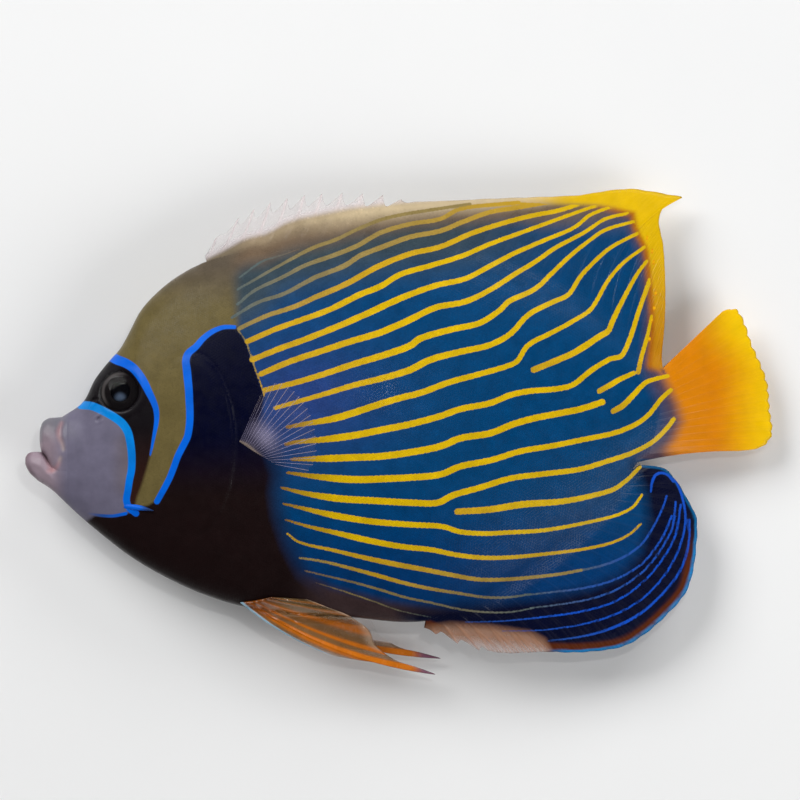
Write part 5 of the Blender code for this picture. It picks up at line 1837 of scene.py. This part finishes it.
@dataclass
class ScaleCoat:
    """Small overlapping scales over the flanks and the inner parts of the fins."""

    markings: Markings
    ground: Ground
    along: float = 0.86
    across: float = 0.98
    head_along: float = 0.7
    head_across: float = 0.76
    head_end_x: float = -68.0
    rim_points: int = 7
    most_in_piece: int = 13800
    spread: float = 0.8
    warp: float = 0.3
    long: float = 1.28
    wide: float = 1.14
    jitter: float = 0.05
    shades: float = 0.1
    first_x: float = -116.0
    last_x: float = 112.0
    far_y: float = 92.0
    steepest: float = 1.5
    lean_from: Span = (0.0, 0.6)
    head_height: float = 0.55
    rear_rise: Span = (0.026, -0.03)
    pole_rise: Span = (0.044, -0.1)
    bare_column: float = 62.0
    clear_eye: float = 9.3
    off_floor: float = 0.6
    off_fin: float = 1.5
    patch_size: float = 0.003
    seed: int = 11
    finish: SkinFinish = SkinFinish(
        "scales", roughness=0.38, coat=0.0, specular=0.06, edge=0.1,
        ragged=0.0, bump=0.1, mottle=0.12)

    def template(self) -> Pair:
        """One scale as a flat double cone with its rear rim raised.

        Returns:
            Its points, and its triangles, with a length and width of about 1.
        """
        bm = bmesh.new()
        bmesh.ops.create_uvsphere(bm, u_segments=self.rim_points, v_segments=2, radius=0.5)
        bmesh.ops.triangulate(bm, faces=bm.faces)
        points = np.array([v.co[:] for v in bm.verts])
        faces = np.array([[v.index for v in face.verts] for face in bm.faces])
        bm.free()
        pole = np.abs(points[:, 2]) > 0.1
        rise = np.where(points[:, 0] > 0.0, *self.rear_rise)
        points[:, 2] = np.where(pole, np.where(points[:, 2] > 0, *self.pole_rise), rise)
        return points, faces

    def roots(self, start: float, end: float, along: float, across: float) -> Array:
        """Rows of scale roots between two places along the fish.

        Args:
            start: Where the first column stands.
            end: Where the columns end.
            along: Distance between columns.
            across: Distance between scales of a column, measured over the flank.

        Returns:
            Places, with the distance over the flank from the middle row, one a row.
        """
        y = np.arange(-self.far_y, self.far_y, 0.25)
        found = []
        for number, x in enumerate(np.arange(start, end, along)):
            height = CHART.look_up(self.ground.half, np.full_like(y, x), y)
            step = np.hypot(np.diff(y), np.minimum(np.abs(np.diff(height)), self.steepest))
            arc = np.concatenate([[0.0], np.cumsum(step)])
            arc -= np.interp(0.0, y, arc)
            row = np.arange(np.ceil(arc[0] / across), arc[-1] / across) * across
            row = row + across * 0.5 * (number % 2)
            up = np.interp(row, arc, y)
            shift = np.sin(up / 2.7 + 1.7 * np.sin(x / 6.1)) + np.sin(up / 1.3 + x / 3.7)
            found.append(np.stack([x + self.warp * shift, up, row], axis=-1))
        return np.vstack(found)

    def wanted(self, roots: Array) -> Array:
        """Which roots get a scale: not the snout, the eyes, the bright lines or the clear webs."""
        x, y = roots[:, 0], roots[:, 1]
        column = x / PIXEL + PHOTO_ORIGIN[0]
        inside = CHART.look_up(self.ground.core, x, y) > 0.95
        reach = CHART.look_up(self.ground.reach, x, y)
        tail = CHART.look_up(self.ground.fin["caudal_fin"] * 1.0, x, y) > 0.5
        limit = np.where(tail, 0.08, 0.86)
        face = CHART.look_up(self.markings.snout, x, y) > 0.6
        eye = np.hypot(x - FORM.eye[0], y - FORM.eye[1]) > self.clear_eye
        line = CHART.look_up(self.markings.line, x, y) > 0.42
        web = CHART.look_up(self.markings.clear, x, y) < 0.2
        rim = CHART.look_up(self.ground.rim, x, y) > 2.6
        band = CHART.look_up(self.markings.rear, x, y) > 0.2
        snout = column > self.bare_column
        return inside & (reach < limit) & face & eye & line & web & rim & band & snout

    def frames(self, roots: Array, side: Side) -> tuple[Array, ...]:
        """Place, way back, way across and outward way of each scale."""
        x, y = roots[:, 0], roots[:, 1]
        slope_y, slope_x = (
            clamp(CHART.look_up(part, x, y), -2.5, 2.5) for part in self.ground.slope[side])
        z = CHART.look_up(self.ground.height[side], x, y)
        reach = CHART.look_up(self.ground.reach, x, y)
        lean = CHART.look_up(self.ground.lean, x, y) * ease(reach, *self.lean_from)
        back = np.stack([np.cos(lean), np.sin(lean)], axis=-1)
        rise = slope_x * back[:, 0] + slope_y * back[:, 1]
        back = np.concatenate([back, rise[:, None]], axis=1)
        back /= np.linalg.norm(back, axis=1, keepdims=True)
        out = np.stack([-slope_x, -slope_y, np.ones_like(x)], axis=-1) * side.value
        out /= np.linalg.norm(out, axis=1, keepdims=True)
        return np.stack([x, y, z], axis=-1), back, np.cross(out, back), out

    def build_side(self, side: Side) -> None:
        """Lays the coat of one flank, in pieces of a size that stays workable."""
        draw = np.random.default_rng(self.seed + side.value)
        head = self.roots(self.first_x, self.head_end_x, self.head_along, self.head_across)
        body = self.roots(self.head_end_x, self.last_x, self.along, self.across)
        counts = (len(head), len(body))
        size = np.repeat((self.head_across, self.across), counts)
        low = np.repeat((self.head_height, 1.0), counts)
        roots = np.vstack([head, body])
        kept = self.wanted(roots)
        if side is Side.RIGHT:
            kept &= CHART.look_up(self.ground.height[side], *roots[:, :2].T) > self.off_floor
            kept &= CHART.look_up(self.ground.under, *roots[:, :2].T) > self.off_fin
        roots, size, low = roots[kept], size[kept], low[kept]
        place, back, aside, out = self.frames(roots, side)
        for way in (back, aside):
            place = place + self.jitter * size[:, None] * way * draw.normal(size=(len(size), 1))
        vary = clamp(0.5 + self.shades * draw.normal(size=len(size)))
        points, faces = self.template()
        spots = (
            place[:, None, :]
            + back[:, None, :] * (points[None, :, :1] * self.long * size[:, None, None])
            + aside[:, None, :] * (points[None, :, 1:2] * self.wide * size[:, None, None])
            + out[:, None, :] * (points[None, :, 2:] * (size * low)[:, None, None]))
        spots[..., 2] = np.maximum(spots[..., 2], 0.05)
        pieces = int(np.ceil(len(roots) / self.most_in_piece))
        word = side.name.lower()
        made = self.finish.make()
        low_uv, span_uv = roots[:, [0, 2]].min(axis=0), np.ptp(roots[:, [0, 2]], axis=0)
        home = (roots[:, [0, 2]] - low_uv) / span_uv * 0.98 + 0.01
        for number, chosen in enumerate(np.array_split(np.arange(len(roots)), pieces)):
            mesh = self.join(f"scales_{word}_{number + 1}", spots[chosen], faces)
            near = roots[chosen, None, :2] * (1.0 - self.spread) + spots[chosen][..., :2] * self.spread
            shade = np.repeat(vary[chosen], len(points))
            self.markings.dress(mesh, near.reshape(-1, 2), vary=shade)
            patch = home[chosen][:, None, :] + points[None, :, :2] * self.patch_size
            patch = patch.reshape(-1, 2)
            corners = np.zeros(len(mesh.loops), int)
            mesh.loops.foreach_get("vertex_index", corners)
            bake_map(mesh, patch[corners])
            piece(mesh.name, mesh, made, "flank_skin")

    def join(self, name: str, spots: Array, faces: Array) -> Mesh:
        """Joins copies of one scale into a mesh.

        Args:
            name: The mesh's name.
            spots: The points of every scale, in millimetres.
            faces: The triangles of one scale.

        Returns:
            The mesh.
        """
        count, points = spots.shape[:2]
        corners = (faces[None, :, :] + points * np.arange(count)[:, None, None]).reshape(-1)
        mesh = bpy.data.meshes.new(name)
        mesh.vertices.add(count * points)
        mesh.vertices.foreach_set("co", (spots * MM).astype(np.float32).ravel())
        mesh.loops.add(len(corners))
        mesh.loops.foreach_set("vertex_index", corners.astype(np.int32))
        mesh.polygons.add(len(corners) // 3)
        mesh.polygons.foreach_set("loop_start", np.arange(0, len(corners), 3, dtype=np.int32))
        mesh.update(calc_edges=True)
        ends = np.zeros(2 * len(mesh.edges), np.int32)
        mesh.edges.foreach_get("vertices", ends)
        rim = np.bincount(faces.ravel(), minlength=points) < self.rim_points
        sharp = rim[ends % points].reshape(-1, 2).all(axis=1)
        mesh.attributes.new("sharp_edge", "BOOLEAN", "EDGE").data.foreach_set("value", sharp)
        return mesh

    def build(self) -> None:
        """Lays both coats."""
        for side in Side:
            self.build_side(side)


@dataclass
class Stage:
    """Floor, lights and camera."""

    camera_height: float = 3.2
    sensor: float = 36.0
    floor_size: float = 3.0
    floor_gap: float = 0.0003
    floor_roughness: float = 0.6
    floor_noise: Span = (9.0, 3.0)
    floor_colours: Table = ((0.84, 0.84, 0.84, 1.0), (0.88, 0.88, 0.875, 1.0))
    sky_colour: tuple[float, ...] = (0.95, 0.97, 1.0, 1.0)
    sky_strength: float = 0.1
    clip_end: float = 20.0
    centre_px: Span = (400.0, 400.0)
    lamps: tuple[tuple[str, tuple[float, ...], float, float], ...] = (
        ("key", (-1.1, 1.2, 1.3), 1.3, 33.0),
        ("fill", (1.3, -0.9, 1.1), 1.4, 20.0),
        ("rim", (0.8, 1.3, 0.9), 1.0, 10.0),
        ("spark", (0.16, 0.3, 1.7), 0.04, 2.2),
    )

    def build(self) -> None:
        """Makes the floor, the soft lights and the camera."""
        self.floor()
        self.lights()
        self.camera()

    def floor(self) -> None:
        """A plain pale floor."""
        bm = bmesh.new()
        bmesh.ops.create_grid(bm, x_segments=4, y_segments=4, size=self.floor_size / 2)
        mesh = finished(bm, "floor")
        tree = NodeTree("floor")
        tree.feed("Base Color", tree.mix(*self.floor_colours, tree.noise(*self.floor_noise)))
        tree.feed("Roughness", self.floor_roughness)
        mesh.materials.append(tree.made)
        ob = add("floor", mesh)
        ob.location.z = -self.floor_gap

    def lights(self) -> None:
        """Large soft lamps round the fish."""
        for name, place, size, power in self.lamps:
            light = bpy.data.lights.new(name, "AREA")
            light.shape = "DISK"
            light.size = size
            light.energy = power
            ob = add(name, light)
            ob.location = place
            ob.rotation_euler = (-Vector(place)).to_track_quat("-Z", "Y").to_euler()
        world = bpy.data.worlds.new("studio")
        world.use_nodes = True
        background = world.node_tree.nodes["Background"]
        background.inputs["Color"].default_value = self.sky_colour
        background.inputs["Strength"].default_value = self.sky_strength
        bpy.context.scene.world = world
        bpy.context.scene.view_settings.view_transform = "Standard"

    def camera(self) -> None:
        """A long lens that looks straight down, framed as the photograph is."""
        shot = bpy.data.cameras.new("camera")
        shot.sensor_width = self.sensor
        distance = self.camera_height - FORM.flank_height * MM
        shot.lens = self.sensor * distance / (PHOTO_SIZE * PIXEL * MM)
        shot.clip_end = self.clip_end
        ob = add("camera", shot)
        centre = seen((self.centre_px,))[0] * MM
        ob.location = (*centre, self.camera_height)
        bpy.context.scene.camera = ob


def main() -> None:
    """Builds the fish, sub-assembly by sub-assembly."""
    logging.basicConfig(level=logging.INFO, format="%(message)s")
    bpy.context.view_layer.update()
    ground = Ground()
    markings = Markings(ground)
    Stage().build()
    Skin(markings, ground).build()
    BodyFinPiece("dorsal_fin", DORSAL, markings, ground, "yellow_fin",
                 ("dorsal_fin_spiny", "dorsal_fin_soft")).build()
    BodyFinPiece("anal_fin", ANAL, markings, ground, "dark_fin", ("anal_fin",)).build()
    BodyFinPiece("caudal_fin", CAUDAL, markings, ground, "tail_fin", ("caudal_fin",),
                 ray_shade=0.08).build()
    Lip("upper_lip", UPPER_LIP, -2.2, True, markings, blunt_over=1.3).build()
    Lip("lower_jaw", LOWER_LIP, -10.4, False, markings).build()
    for side in Side:
        Eye(side).build()
        CheekSpine(side).build()
    build_pectorals()
    build_pelvics(ground)
    ScaleCoat(markings, ground).build()


if __name__ == "__main__":
    main()
